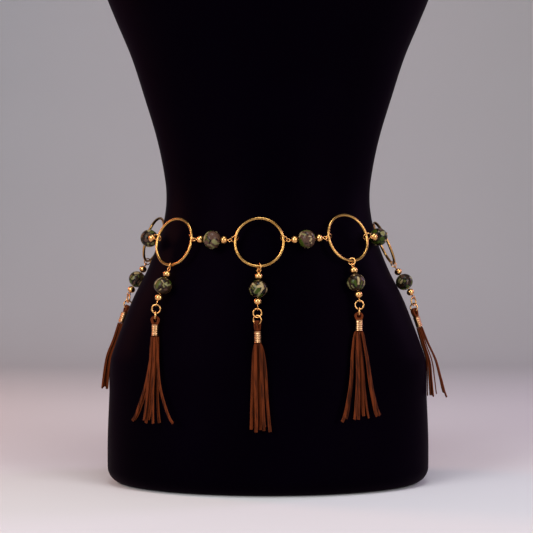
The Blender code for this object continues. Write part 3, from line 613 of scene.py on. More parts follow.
def circle(matrix, radius, count, turn=0.0):
    """Points round a circle in the XY plane of a placement."""
    turns = [math.tau * k / count + turn for k in range(count)]
    return [matrix @ Vector((math.cos(a) * radius, math.sin(a) * radius, 0)) for a in turns]


def wire_hoop(shape, matrix, radius, wire, segments, sides):
    """A closed ring of round wire in the XY plane of a placement."""
    rows = []
    for k in range(segments):
        a = math.tau * k / segments
        spoke = matrix.to_3x3() @ Vector((math.cos(a), math.sin(a), 0))
        axis = matrix.to_3x3() @ Vector((0, 0, 1))
        centre = matrix.translation + spoke * radius
        around = [math.tau * j / sides for j in range(sides)]
        rows.append([centre + (spoke * math.cos(b) + axis * math.sin(b)) * wire / 2 for b in around])
    return shape.skin(rows, closed=True)


def rod(shape, start, end, diameter, sides=16):
    """A straight piece of wire between two points."""
    way = end - start
    return shape.skin([circle(on_axis(p, way), diameter / 2, sides) for p in (start, end)])


def joined(name, parts):
    """One object from several (mesh, material) pairs."""
    points, faces, slots, materials = [], [], [], []
    uvs = []
    for mesh, material in parts:
        if material not in materials:
            materials.append(material)
        base = len(points)
        points += [v.co.copy() for v in mesh.vertices]
        layer = mesh.uv_layers.get("UVMap")
        for face in mesh.polygons:
            faces.append([base + v for v in face.vertices])
            slots.append(materials.index(material))
            uvs.append([tuple(layer.data[k].uv) if layer else (0.5, 0.5) for k in face.loop_indices])
        bpy.data.meshes.remove(mesh)
    whole = Shape()
    whole.points, whole.faces, whole.uvs = points, faces, uvs
    mesh = whole.mesh(name)
    for material in materials:
        mesh.materials.append(material)
    mesh.polygons.foreach_set("material_index", slots)
    obj = bpy.data.objects.new(name, mesh)
    bpy.context.scene.collection.objects.link(obj)
    return obj


def fit(obj, body, slot, *nodes):
    """Makes a finished piece ride on its body, in the place of the solids that it stands for."""
    boxes = [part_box(node) for node in nodes]
    for k, values in enumerate(zip(*(v.co for v in obj.data.vertices))):
        low = min(box[0][k] for box in boxes) - BOX_SLACK
        high = max(box[1][k] for box in boxes) + BOX_SLACK
        if min(values) < low or max(values) > high:
            raise RuntimeError(f"{obj.name} isn't where {nodes[0]} is")
    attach(obj, body)
    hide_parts(*nodes)
    return obj


# Nodes


def add(tree, kind, links=None, **settings):
    """A node with these settings. links gives each input, by name or number, a value or a socket."""
    node = tree.nodes.new(kind)
    for key, value in settings.items():
        setattr(node, key, value)
    for key, value in (links or {}).items():
        if isinstance(value, bpy.types.NodeSocket):
            tree.links.new(value, node.inputs[key])
        else:
            node.inputs[key].default_value = value
    return node


def math_step(tree, operation, *values, clamp=False):
    """The result of one step of arithmetic on numbers or sockets."""
    links = dict(enumerate(values))
    return add(tree, "ShaderNodeMath", links, operation=operation, use_clamp=clamp).outputs[0]


def vector_step(tree, operation, *values, output="Vector", **named):
    """The result of one step of arithmetic on vectors or sockets."""
    links = {**dict(enumerate(values)), **named}
    return add(tree, "ShaderNodeVectorMath", links, operation=operation).outputs[output]


def new_tree(name, inputs):
    """A Geometry Nodes tree with these named inputs: (name, socket type, default)."""
    tree = bpy.data.node_groups.new(name, "GeometryNodeTree")
    tree.interface.new_socket("Geometry", in_out="INPUT", socket_type="NodeSocketGeometry")
    tree.interface.new_socket("Geometry", in_out="OUTPUT", socket_type="NodeSocketGeometry")
    for label, kind, default in inputs:
        socket = tree.interface.new_socket(label, in_out="INPUT", socket_type=kind)
        if default is not None:
            socket.default_value = default
    return tree, tree.nodes.new("NodeGroupInput").outputs, tree.nodes.new("NodeGroupOutput").inputs


def set_out(tree, source, out, piece):
    """Puts a copy of the piece at each point, turned by the point's own turn, as real geometry."""
    turn = add(tree, "GeometryNodeInputNamedAttribute", {"Name": "turn"}, data_type="FLOAT_VECTOR")
    smooth = add(tree, "GeometryNodeSetShadeSmooth", {"Geometry": piece})
    places = {"Points": source["Geometry"], "Instance": smooth.outputs[0], "Rotation": turn.outputs[0]}
    copies = add(tree, "GeometryNodeInstanceOnPoints", places)
    real = add(tree, "GeometryNodeRealizeInstances", {"Geometry": copies.outputs[0]})
    made = add(tree, "GeometryNodeSetMaterial", {"Geometry": real.outputs[0], "Material": source["Finish"]})
    tree.links.new(made.outputs[0], out["Geometry"])


def wire_loop_tree():
    """Loops of bent wire, one at each point, with the wire's two ends meeting at a fine cut."""
    tree, source, out = new_tree(
        "Wire loops",
        [
            ("Loop Radius", "NodeSocketFloat", SIDE_JUMP_RADIUS),
            ("Wire Diameter", "NodeSocketFloat", SIDE_JUMP_WIRE),
            ("Cut", "NodeSocketFloat", 0.03),
            ("Cut At", "NodeSocketFloat", 0.0),
            ("Segments", "NodeSocketInt", 48),
            ("Wire Sides", "NodeSocketInt", 14),
            ("Finish", "NodeSocketMaterial", None),
        ],
    )
    sweep = math_step(tree, "SUBTRACT", math.tau, source["Cut"])
    arc = add(
        tree,
        "GeometryNodeCurveArc",
        {
            "Resolution": source["Segments"],
            "Radius": source["Loop Radius"],
            "Start Angle": source["Cut At"],
            "Sweep Angle": sweep,
        },
        mode="RADIUS",
    )
    half = math_step(tree, "MULTIPLY", source["Wire Diameter"], 0.5)
    section_of_wire = {"Resolution": source["Wire Sides"], "Radius": half}
    profile = add(tree, "GeometryNodeCurvePrimitiveCircle", section_of_wire, mode="RADIUS")
    sweep_links = {"Curve": arc.outputs[0], "Profile Curve": profile.outputs[0], "Fill Caps": True}
    loop = add(tree, "GeometryNodeCurveToMesh", sweep_links)
    set_out(tree, source, out, loop.outputs[0])
    return tree


def metal_bead_tree():
    """Small metal beads, slightly flattened along the pin that they sit on, one at each point."""
    tree, source, out = new_tree(
        "Metal beads",
        [
            ("Diameter", "NodeSocketFloat", METAL_BEAD),
            ("Height", "NodeSocketFloat", METAL_BEAD_HEIGHT),
            ("Finish", "NodeSocketMaterial", None),
        ],
    )
    half = math_step(tree, "MULTIPLY", source["Diameter"], 0.5)
    ball = add(tree, "GeometryNodeMeshUVSphere", {"Segments": 40, "Rings": 24, "Radius": half})
    flat = math_step(tree, "DIVIDE", source["Height"], source["Diameter"])
    scale = add(tree, "ShaderNodeCombineXYZ", {"X": 1.0, "Y": 1.0, "Z": flat})
    bead = add(tree, "GeometryNodeTransform", {"Geometry": ball.outputs[0], "Scale": scale.outputs[0]})
    set_out(tree, source, out, bead.outputs[0])
    return tree


def repeated(tree, places, finish, **sizes):
    """The mesh that a tree makes at these placements."""
    mesh = bpy.data.meshes.new(tree.name)
    mesh.from_pydata([m.translation for m in places], [], [])
    turns = mesh.attributes.new("turn", "FLOAT_VECTOR", "POINT")
    for point, matrix in zip(turns.data, places):
        point.vector = matrix.to_euler()
    obj = bpy.data.objects.new(tree.name, mesh)
    bpy.context.scene.collection.objects.link(obj)
    modifier = obj.modifiers.new(tree.name, "NODES")
    modifier.node_group = tree
    identifiers = {item.name: item.identifier for item in tree.interface.items_tree if item.in_out == "INPUT"}
    for label, value in sizes.items():
        modifier[identifiers[label.replace("_", " ").title()]] = value
    modifier[identifiers["Finish"]] = finish
    made = bpy.data.meshes.new_from_object(obj.evaluated_get(bpy.context.evaluated_depsgraph_get()))
    bpy.data.objects.remove(obj, do_unlink=True)
    return made


# Finishes


def new_material(name, **values):
    """A material whose Principled shader has these constant values, and the node tree to add to."""
    material = bpy.data.materials.new(name)
    material.use_nodes = True
    shader = material.node_tree.nodes["Principled BSDF"]
    for key, value in values.items():
        socket = shader.inputs[key.replace("_", " ")]
        socket.default_value = (*value, 1) if isinstance(value, tuple) else value
    return material, material.node_tree, shader


def ramp(tree, source, *stops):
    """A colour ramp: stops are (position, colour)."""
    node = add(tree, "ShaderNodeValToRGB", {0: source})
    elements = node.color_ramp.elements
    while len(elements) < len(stops):
        elements.new(0.5)
    for element, (position, colour) in zip(elements, stops):
        element.position = position
        element.color = (*colour, 1)
    return node.outputs[0]


def grain(tree, coordinates, scale, detail=2.0, rough=0.5, distortion=0.0):
    """Smooth noise from 0 to 1."""
    values = {"Vector": coordinates, "Scale": scale, "Detail": detail, "Roughness": rough}
    return add(tree, "ShaderNodeTexNoise", {**values, "Distortion": distortion}).outputs[0]


def to_range(tree, source, low, high):
    """The source's 0 to 1, stretched to these values."""
    return add(tree, "ShaderNodeMapRange", {0: source, 3: low, 4: high}).outputs[0]


def bump(tree, shader, height, strength, distance):
    """Makes the surface stand up where the height is large."""
    values = {"Height": height, "Strength": strength, "Distance": distance}
    normal = add(tree, "ShaderNodeBump", values)
    tree.links.new(normal.outputs[0], shader.inputs["Normal"])
    return normal


def mixed(tree, factor, first, second):
    """The first colour with the second over it. A colour may be a socket or three numbers."""
    node = add(tree, "ShaderNodeMix", data_type="RGBA")
    sockets = [node.inputs[0], *[socket for socket in node.inputs if socket.type == "RGBA"]]
    for socket, value in zip(sockets, (factor, first, second)):
        if isinstance(value, bpy.types.NodeSocket):
            tree.links.new(value, socket)
        else:
            socket.default_value = (*value, 1)
    return [socket for socket in node.outputs if socket.type == "RGBA"][0]


def metal(name, bright, dull, low, high, lines=None):
    """Plated metal with faint handling marks. lines are (turns along U, along V, depth, colour of the painted
    shade in the grooves).
    """
    material, tree, shader = new_material(name, Metallic=1.0)
    where = add(tree, "ShaderNodeTexCoord")
    broad = grain(tree, where.outputs["Object"], 90, 2)
    colour = ramp(tree, broad, (0.35, dull), (0.55, bright))
    if lines:
        along, around, depth, painted_shade = lines
        scale = (along * math.tau / 10, around * math.tau / 10, 0)
        spread = add(tree, "ShaderNodeMapping", {"Vector": where.outputs["UV"], "Scale": scale})
        wave = add(
            tree, "ShaderNodeTexWave", {"Vector": spread.outputs[0], "Scale": 1.0, "Distortion": 0.0},
            wave_type="BANDS", bands_direction="DIAGONAL",
        ).outputs[1]
        # Painted shade: the grooves between the lines are darkened towards the given darker colour.
        painted_groove_shade = add(tree, "ShaderNodeMapRange", {0: wave, 1: 0.45, 2: 0.95, 3: 0.0, 4: 0.85}).outputs[0]
        colour = mixed(tree, painted_groove_shade, colour, painted_shade)
        bump(tree, shader, to_range(tree, wave, 1.0, 0.0), depth, 0.0001)
    tree.links.new(colour, shader.inputs["Base Color"])
    tree.links.new(to_range(tree, broad, high, low), shader.inputs["Roughness"])
    return material


def form_finish(colour):
    """Deep satin black on a smooth shell, which takes a faint tint where light grazes it."""
    material, tree, shader = new_material("Form satin black", Specular_IOR_Level=0.006, Sheen_Weight=0.010)
    shader.inputs["Sheen Tint"].default_value = (0.80, 0.20, 0.62, 1)
    shader.inputs["Specular Tint"].default_value = (1.0, 0.38, 0.80, 1)
    where = add(tree, "ShaderNodeTexCoord").outputs["Object"]
    broad = grain(tree, where, 9, 2)
    lighter = tuple(c * 1.5 for c in colour)
    tree.links.new(ramp(tree, broad, (0.3, colour), (0.7, lighter)), shader.inputs["Base Color"])
    tree.links.new(to_range(tree, broad, 0.42, 0.52), shader.inputs["Roughness"])
    bump(tree, shader, grain(tree, where, 1500, 2), 0.05, 0.0002)
    return material


def suede_finish(colour):
    """Split leather: a soft nap with lighter and darker brushed patches that also serve as painted light and
    painted shade on the strands, and paler cut edges that also carry a painted highlight.
    """
    material, tree, shader = new_material("Suede cord", Sheen_Weight=0.06, Sheen_Roughness=0.45)
    shader.inputs["Sheen Tint"].default_value = (0.80, 0.36, 0.18, 1)
    shader.inputs["Specular IOR Level"].default_value = 0.10
    coordinates = add(tree, "ShaderNodeTexCoord").outputs
    where = coordinates["Object"]
    # The darker and lighter tones are the suede's own patches and also painted shade and painted light, strand
    # by strand; the edge tone is a paler cut edge and also a painted highlight.
    painted_shade, bright, edge = (tuple(c * share for c in colour) for share in (0.34, 1.35, 1.5))
    drawn = add(tree, "ShaderNodeMapping", {"Vector": where, "Scale": (1, 1, 0.08)}).outputs[0]
    patches_and_painted_shade = grain(tree, drawn, 330, 2, 0.55, 0.1)
    face = ramp(tree, patches_and_painted_shade, (0.38, painted_shade), (0.60, bright))
    # Painted highlight, partly the paler cut edge: both edges of each cord are lightened to 1.5 times the
    # colour.
    around = add(tree, "ShaderNodeSeparateXYZ", {0: coordinates["UV"]}).outputs["Y"]
    across = math_step(tree, "COSINE", math_step(tree, "MULTIPLY", around, math.tau))
    cut_edge_and_painted_highlight = math_step(tree, "POWER", across, 4.0)
    tree.links.new(mixed(tree, cut_edge_and_painted_highlight, face, edge), shader.inputs["Base Color"])
    nap = grain(tree, where, 3200, 3, 0.7)
    tree.links.new(to_range(tree, nap, 0.82, 1.0), shader.inputs["Roughness"])
    bump(tree, shader, nap, 0.35, 0.0003)
    return material


def stroke_group():
    """A shader group: how far a stroke with round ends covers a point."""
    tree = bpy.data.node_groups.new("Stroke", "ShaderNodeTree")
    for label in ("Point", "Start", "Way"):
        tree.interface.new_socket(label, in_out="INPUT", socket_type="NodeSocketVector")
    tree.interface.new_socket("Half Width", in_out="INPUT", socket_type="NodeSocketFloat")
    tree.interface.new_socket("Cover", in_out="OUTPUT", socket_type="NodeSocketFloat")
    source, out = tree.nodes.new("NodeGroupInput").outputs, tree.nodes.new("NodeGroupOutput").inputs
    offset = vector_step(tree, "SUBTRACT", source["Point"], source["Start"])
    along = vector_step(tree, "DOT_PRODUCT", offset, source["Way"], output="Value")
    whole = vector_step(tree, "DOT_PRODUCT", source["Way"], source["Way"], output="Value")
    share = math_step(tree, "DIVIDE", along, whole, clamp=True)
    nearest = vector_step(tree, "SCALE", source["Way"], Scale=share)
    apart = vector_step(tree, "DISTANCE", offset, nearest, output="Value")
    inside = math_step(tree, "SUBTRACT", source["Half Width"], apart)
    cover = math_step(tree, "MULTIPLY_ADD", inside, 1 / STROKE_SOFT, 0.5, clamp=True)
    tree.links.new(cover, out["Cover"])
    return tree


def on_front(centre, right, up):
    """The point of a stone's front that lies this share of its radius to the right and up."""
    depth = math.sqrt(max(0, 1 - right**2 - up**2))
    return centre + Vector((right, -depth, up)) * STONE / 2


def stone_finish(name, stone, centre):
    """Polished mottled stone: cells of several colours with black edges, under strokes at the front."""
    material, tree, shader = new_material(f"{name} mottled", Coat_Weight=0.03, Coat_Roughness=0.08)
    shader.inputs["Specular IOR Level"].default_value = 0.12
    where = add(tree, "ShaderNodeTexCoord").outputs["Object"]
    shift = {"Vector": where, "Location": (stone.seed * 0.37, stone.seed * 0.21, -stone.seed * 0.13)}
    local = add(tree, "ShaderNodeMapping", shift).outputs[0]
    rough = add(tree, "ShaderNodeTexNoise", {"Vector": local, "Scale": 300.0, "Detail": 2.0}).outputs[1]
    centred = vector_step(tree, "SUBTRACT", rough, (0.5, 0.5, 0.5))
    wobble = vector_step(tree, "SCALE", centred, Scale=STROKE_WOBBLE)
    bent = vector_step(tree, "ADD", local, wobble)
    in_cells = {"Vector": bent, "Scale": CELL_SCALE}
    cells = add(tree, "ShaderNodeTexVoronoi", in_cells)
    pick = add(tree, "ShaderNodeSeparateColor", {0: cells.outputs["Color"]}).outputs[0]
    shades = (UMBER, MAUVE, MOSS, SAGE, stone.body, OLIVE, CREAM, BROWN)
    colour = ramp(tree, pick, *[(0.06 + 0.12 * k, shade) for k, shade in enumerate(shades)])
    colour.node.color_ramp.interpolation = "CONSTANT"
    edges = add(tree, "ShaderNodeTexVoronoi", in_cells, feature="DISTANCE_TO_EDGE")
    edge = ramp(tree, edges.outputs[0], (0.05, (1, 1, 1)), (0.12, (0, 0, 0)))
    colour = mixed(tree, edge, colour, BLACK)
    point = vector_step(tree, "ADD", where, wobble)
    front = ((stone.body, 1.05, (0, 0), (0, 0)),) if stone.strokes else ()
    group = bpy.data.node_groups.get("Stroke") or stroke_group()
    for shade, width, *ends in (*front, *stone.strokes):
        start, end = (on_front(centre, u, v) for u, v in ends)
        settings = {"Point": point, "Start": start, "Way": end - start, "Half Width": width * STONE / 2}
        cover = add(tree, "ShaderNodeGroup", settings, node_tree=group)
        colour = mixed(tree, cover.outputs[0], colour, shade)
    tree.links.new(colour, shader.inputs["Base Color"])
    tree.links.new(to_range(tree, pick, 0.22, 0.34), shader.inputs["Roughness"])
    return material


# Settings


class BeltSizes(bpy.types.PropertyGroup):
    """Sizes that don't change where a piece sits."""

    cord_width: bpy.props.FloatProperty(
        name="Cord width", description="Width of one flat suede cord", default=CORD_WIDTH, unit="LENGTH"
    )
    cord_thickness: bpy.props.FloatProperty(
        name="Cord thickness", description="Thickness of one suede cord", default=0.0012, unit="LENGTH"
    )
    ridge_height: bpy.props.FloatProperty(
        name="Ridge height", description="How far each clamp ridge stands out", default=0.00034, unit="LENGTH"
    )
    ridges: bpy.props.IntProperty(name="Ridges", description="Ridges pressed into each clamp", default=5)


class BeltColours(bpy.types.PropertyGroup):
    """The colours of the finishes."""

    gold: bpy.props.FloatVectorProperty(
        name="Gold", description="Plated rings and beads", subtype="COLOR", default=(0.66, 0.38, 0.115)
    )
    clamp: bpy.props.FloatVectorProperty(
        name="Clamp", description="Pale gold of the clamps", subtype="COLOR", default=(0.86, 0.51, 0.255)
    )
    suede: bpy.props.FloatVectorProperty(
        name="Suede", description="Face of the cords", subtype="COLOR", default=(0.080, 0.0148, 0.0028)
    )
    form: bpy.props.FloatVectorProperty(
        name="Form", description="Paint of the torso form", subtype="COLOR", default=(0.0003, 0.0001, 0.0009)
    )
    backdrop: bpy.props.FloatVectorProperty(
        name="Backdrop", description="Floor and backdrop", subtype="COLOR", default=(0.62, 0.61, 0.63)
    )


def finish(key, make):
    """A material that several pieces share, made once."""
    return bpy.data.materials.get(key) or make()


def ring_gold():
    gold = tuple(bpy.context.scene.belt_colours.gold)
    dull = (gold[0] * 0.80, gold[1] * 0.74, gold[2] * 0.64)
    # The darkest colour here is painted shade, laid into the hatch's grooves.
    painted_shade = (gold[0] * 0.38, gold[1] * 0.28, gold[2] * 0.22)
    hatch = (98, 6, 0.09, painted_shade)
    return finish("Hatched gold wire", lambda: metal("Hatched gold wire", gold, dull, 0.20, 0.30, hatch))


def bright_gold():
    gold = tuple(bpy.context.scene.belt_colours.gold)
    rosy = (gold[0] * 1.16, gold[1] * 1.08, gold[2] * 1.25)
    dull = (gold[0], gold[1] * 0.86, gold[2] * 0.88)
    return finish("Polished gold", lambda: metal("Polished gold", rosy, dull, 0.20, 0.28))


def clamp_gold():
    pale = tuple(bpy.context.scene.belt_colours.clamp)
    dull = (pale[0] * 0.80, pale[1] * 0.74, pale[2] * 0.68)
    # The darkest colour here is painted shade, laid into the gaps between the pressed ridges.
    painted_shade = (pale[0] * 0.30, pale[1] * 0.22, pale[2] * 0.18)
    ridges = (0, 2 * bpy.context.scene.belt_sizes.ridges, 0.2, painted_shade)
    return finish("Pale pressed gold", lambda: metal("Pale pressed gold", pale, dull, 0.24, 0.36, ridges))


def suede():
    colour = tuple(bpy.context.scene.belt_colours.suede)
    return finish("Suede cord", lambda: suede_finish(colour))


# Pieces


def tree_named(name, make):
    return bpy.data.node_groups.get(name) or make()


def loops(places, material, **sizes):
    return repeated(tree_named("Wire loops", wire_loop_tree), places, material, **sizes)


def metal_beads(places, material):
    tree = tree_named("Metal beads", metal_bead_tree)
    return repeated(tree, places, material, diameter=METAL_BEAD, height=METAL_BEAD_HEIGHT)


def pin_parts(centre, first, last, first_across, last_across, material):
    """An eye pin: its wire, its two eyes and its two small beads, as (mesh, material) pairs."""
    way = (last - first).normalized()
    wire = rod(Shape(), first + way * EYE_RADIUS, last - way * EYE_RADIUS, PIN_WIRE)
    eyes = [place(first, way, first_across), place(last, -way, last_across)]
    beads = [on_axis(centre - way * BEAD_PITCH, way), on_axis(centre + way * BEAD_PITCH, way)]
    return [
        (wire.mesh("pin"), material),
        (loops(eyes, material, **EYE), material),
        (metal_beads(beads, material), material),
    ]


def link_place(name, left_ring, right_ring):
    """A link's centre and its way, from the two rings that it joins."""
    first, last, _ = link_eyes(name, RINGS[left_ring]["right"], RINGS[right_ring]["left"])
    return (first + last) / 2, (last - first).normalized()


def side_jump_place(ring, side, eye_point, roll):
    """Where a jump ring joins a link's eye to a ring's side wire: square to that wire, but for its roll."""
    way = (eye_point - ring[side]).normalized()
    wire_way = ring["tangent"].cross(ring["down"]).cross(ring[side] - ring["middle"])
    square = wire_way.cross(way).normalized()
    across = square * math.cos(roll) + way.cross(square) * math.sin(roll)
    return place(ring[side] + way * LINK_JUMP_SHIFT, way, across)


class BELT_OT_form(bpy.types.Operator):
    """Makes the smooth black torso form that the belt rests on"""

    bl_idname = "belt.form"
    bl_label = "Torso form"

    def execute(self, context):
        turns = [math.tau * k / FORM_TURN for k in range(FORM_TURN)]
        top = SECTIONS[-1].height
        rows = []
        for k in range(BASE_STEPS + 1):
            share = 1 - math.cos(math.pi / 2 * k / BASE_STEPS)
            height = BASE_ROUND * share
            inset = BASE_ROUND * (1 - math.sqrt(1 - (1 - share) ** 2))
            rows.append([form_point(a, height, inset) for a in turns])
        steps = round((top - NECK_ROUND - BASE_ROUND) / FORM_STEP)
        for k in range(1, steps + 1):
            height = BASE_ROUND + (top - NECK_ROUND - BASE_ROUND) * k / steps
            rows.append([form_point(a, height) for a in turns])
        for k in range(1, NECK_STEPS + 1):
            bend = math.pi / 2 * k / NECK_STEPS
            height = top - NECK_ROUND * (1 - math.sin(bend))
            rows.append([form_point(a, height, NECK_ROUND * (1 - math.cos(bend))) for a in turns])
        colour = tuple(context.scene.belt_colours.form)
        shell = Shape().skin(rows).mesh("fine_form", sharp=60)
        obj = joined("fine_form", [(shell, form_finish(colour))])
        fit(obj, "root", "form", "torso_form")
        return {"FINISHED"}


class BELT_OT_rings(bpy.types.Operator):
    """Makes the large rings of hatched gold wire"""

    bl_idname = "belt.rings"
    bl_label = "Large rings"

    def execute(self, context):
        shape = Shape()
        for ring in RINGS.values():
            matrix = place(ring["middle"], ring["tangent"], ring["down"])
            wire_hoop(shape, matrix, RING_RADIUS, RING_WIRE, RING_TURN, RING_AROUND)
        obj = joined("large_rings", [(shape.mesh("large_rings"), ring_gold())])
        fit(obj, "root", "gold", *[f"ring_{name}" for name in RINGS])
        return {"FINISHED"}


class BELT_OT_links(bpy.types.Operator):
    """Makes the links' eye pins, small metal beads and side jump rings"""

    bl_idname = "belt.links"
    bl_label = "Links"

    def execute(self, context):
        gold = bright_gold()
        parts, jumps = [], []
        for name, (left_ring, right_ring) in LINKS:
            first, last, outward = link_eyes(name, RINGS[left_ring]["right"], RINGS[right_ring]["left"])
            across = UP * math.cos(LINK_ROLL) + outward * math.sin(LINK_ROLL)
            parts += pin_parts((first + last) / 2, first, last, across, across, gold)
            jumps.append(side_jump_place(RINGS[left_ring], "right", first, LINK_ROLL))
            jumps.append(side_jump_place(RINGS[right_ring], "left", last, -LINK_ROLL))
        sizes = {"loop_radius": LINK_JUMP_RADIUS, "wire_diameter": SIDE_JUMP_WIRE, "cut_at": 1.9}
        parts.append((loops(jumps, gold, **sizes), gold))
        obj = joined("link_hardware", parts)
        fit(obj, "root", "gold", *[f"link_pin_{name}" for name, _ in LINKS])
        return {"FINISHED"}


def stone_rows(centre, way):
    """A round bead with a drilled bore, turned about the pin's line."""
    start = math.asin(STONE_BORE / STONE)
    outline = []
    for k in range(STONE_STEPS + 1):
        a = start + (math.pi - 2 * start) * k / STONE_STEPS
        outline.append((STONE / 2 * math.sin(a), STONE_HEIGHT / 2 * math.cos(a)))
    depth = outline[0][1]
    outline += [(STONE_BORE / 2, -depth * s) for s in (0.9, 0.5, 0.0, -0.5, -0.9)]
    matrix = on_axis(centre, way)
    rows = []
    for k in range(STONE_TURN):
        spin = Matrix.Rotation(math.tau * k / STONE_TURN, 4, "Z")
        rows.append([matrix @ spin @ Vector((radius, 0, height)) for radius, height in outline])
    return rows


class BELT_OT_stones(bpy.types.Operator):
    """Makes the polished mottled stone beads"""

    bl_idname = "belt.stones"
    bl_label = "Stone beads"

    def execute(self, context):
        places = {f"link_stone_{name}": ("root", *link_place(name, *ends)) for name, ends in LINKS}
        for name, layout in HUNG.items():
            places[f"drop_stone_{name}"] = (f"drop_{name}", layout["stone"], layout["pin_way"])
        for node, (body, centre, way) in places.items():
            mesh = Shape().skin(stone_rows(centre, way), closed=True).mesh(node)
            obj = joined(f"bead_{node}", [(mesh, stone_finish(node, STONES[node], centre))])
            fit(obj, body, "stone", node)
        return {"FINISHED"}


class BELT_OT_drop_hardware(bpy.types.Operator):
    """Makes each drop's hanger, eye pin, small metal beads and two larger jump rings"""

    bl_idname = "belt.drop_hardware"
    bl_label = "Drop hardware"

    def execute(self, context):
        gold = bright_gold()
        for drop in DROPS:
            layout = HUNG[drop.ring]
            tangent, outward, pin_way = layout["tangent"], layout["outward"], layout["pin_way"]
            pin_out = tangent.cross(-pin_way).normalized()
            roll = pin_out * math.cos(HANGER_ROLL) + tangent * math.sin(HANGER_ROLL)
            hanger = [place(layout["top"] + pin_way * SIDE_JUMP_SHIFT, pin_way, roll)]
            ends = (layout["eye"], layout["low_eye"])
            turn_a = math.radians(drop.turn_a)
            low_out = pin_out * math.cos(turn_a) - tangent * math.sin(turn_a)
            parts = pin_parts(layout["stone"], *ends, tangent, low_out, gold)
            sizes = {"loop_radius": SIDE_JUMP_RADIUS, "wire_diameter": SIDE_JUMP_WIRE, "cut_at": 2.4}
            parts.append((loops(hanger, gold, **sizes), gold))
            obj = joined(f"drop_wirework_{drop.ring}", parts)
            fit(obj, f"drop_{drop.ring}", "gold", f"hanger_{drop.ring}", f"drop_pin_{drop.ring}")
            low = []
            for letter, degrees in (("a", drop.turn_a), ("b", drop.turn_b)):
                turn = math.radians(degrees)
                across = tangent * math.cos(turn) + outward * math.sin(turn)
                low.append(place(layout[f"jump_{letter}"], layout["jump_way"], across))
            sizes = {"loop_radius": LOW_JUMP_RADIUS, "wire_diameter": LOW_JUMP_WIRE, "cut_at": 1.3}
            obj = joined(f"drop_jump_rings_{drop.ring}", [(loops(low, gold, **sizes), gold)])
            fit(obj, f"drop_{drop.ring}", "gold", f"jump_a_{drop.ring}", f"jump_b_{drop.ring}")
        return {"FINISHED"}


def cord_section(middle, across, normal, width, thickness):
    """The rounded outline of a flat cord, square to its line."""
    points = []
    for k in range(CORD_AROUND):
        a = math.tau * (k + 0.5) / CORD_AROUND
        x, y = math.cos(a), math.sin(a)
        x, y = (math.copysign(abs(v) ** EDGE_POWER, v) for v in (x, y))
        points.append(middle + across * x * width / 2 + normal * y * thickness / 2)
    return points


def smooth_through(points, count):
    """Points at equal steps of a smooth curve through a row of points."""
    made = []
    last = len(points) - 1
    for k in range(count + 1):
        s = k / count * last
        i = min(int(s), last - 1)
        t = s - i
        p0, p1, p2, p3 = (points[min(max(j, 0), last)] for j in (i - 1, i, i + 1, i + 2))
        square, cube = 2 * p0 - 5 * p1 + 4 * p2 - p3, 3 * p1 - p0 - 3 * p2 + p3
        made.append(0.5 * (2 * p1 + (p2 - p0) * t + square * t**2 + cube * t**3))
    return made


def cord_rows(points, across, width, thickness):
    """Sections along a flat cord. across holds one direction for each point."""
    rows = []
    for k, point in enumerate(points):
        way = (points[min(k + 1, len(points) - 1)] - points[max(k - 1, 0)]).normalized()
        side = (across[k] - way * across[k].dot(way)).normalized()
        rows.append(cord_section(point, side, way.cross(side), width, thickness))
    return rows


def strand_points(drop, layout, number):
    """The middle line of one hanging cord, and how it fans out."""
    column, layer = number // LAYERS, STRAND_LAYERS[number % LAYERS]
    tip = drop.tips[number]
    root = (column - (STRANDS // LAYERS - 1) / 2) * (CORD_WIDTH + COLUMN_GAP)
    depth = (layer - (LAYERS - 1) / 2) * LAYER_PITCH
    shorter = drop.uneven * (0.5 + 0.5 * math.sin(2.4 * number + drop.turn_a - drop.turn_b))
    path = smooth_through(layout["path"], CORD_STEPS)
    points, normals = [], []
    for k, point in enumerate(path):
        t = k / (len(path) - 1)
        way = (path[min(k + 1, len(path) - 1)] - path[max(k - 1, 0)]).normalized()
        normal = layout["tangent"].cross(-way).normalized()
        sway = noise.noise(Vector((number * 3.7, t * 2.1, drop.turn_a))) * SWAY * t
        share = drop.early * (1 - math.exp(-t / EARLY_SHARE)) + (1 - drop.early) * t**LATE_POWER
        side = root + (tip - root) * share + sway
        outer = depth + drop.flare * t**1.5 * (layer / (LAYERS - 1)) ** FLARE_POWER
        middle = point - way * shorter * t + layout["tangent"] * side + normal * outer
        lift = LAYERS * LAYER_PITCH / 2 + depth + SURFACE_GAP - clearance(middle)
        points.append(middle + normal * max(0, lift))
        normals.append(normal)
    return points, normals


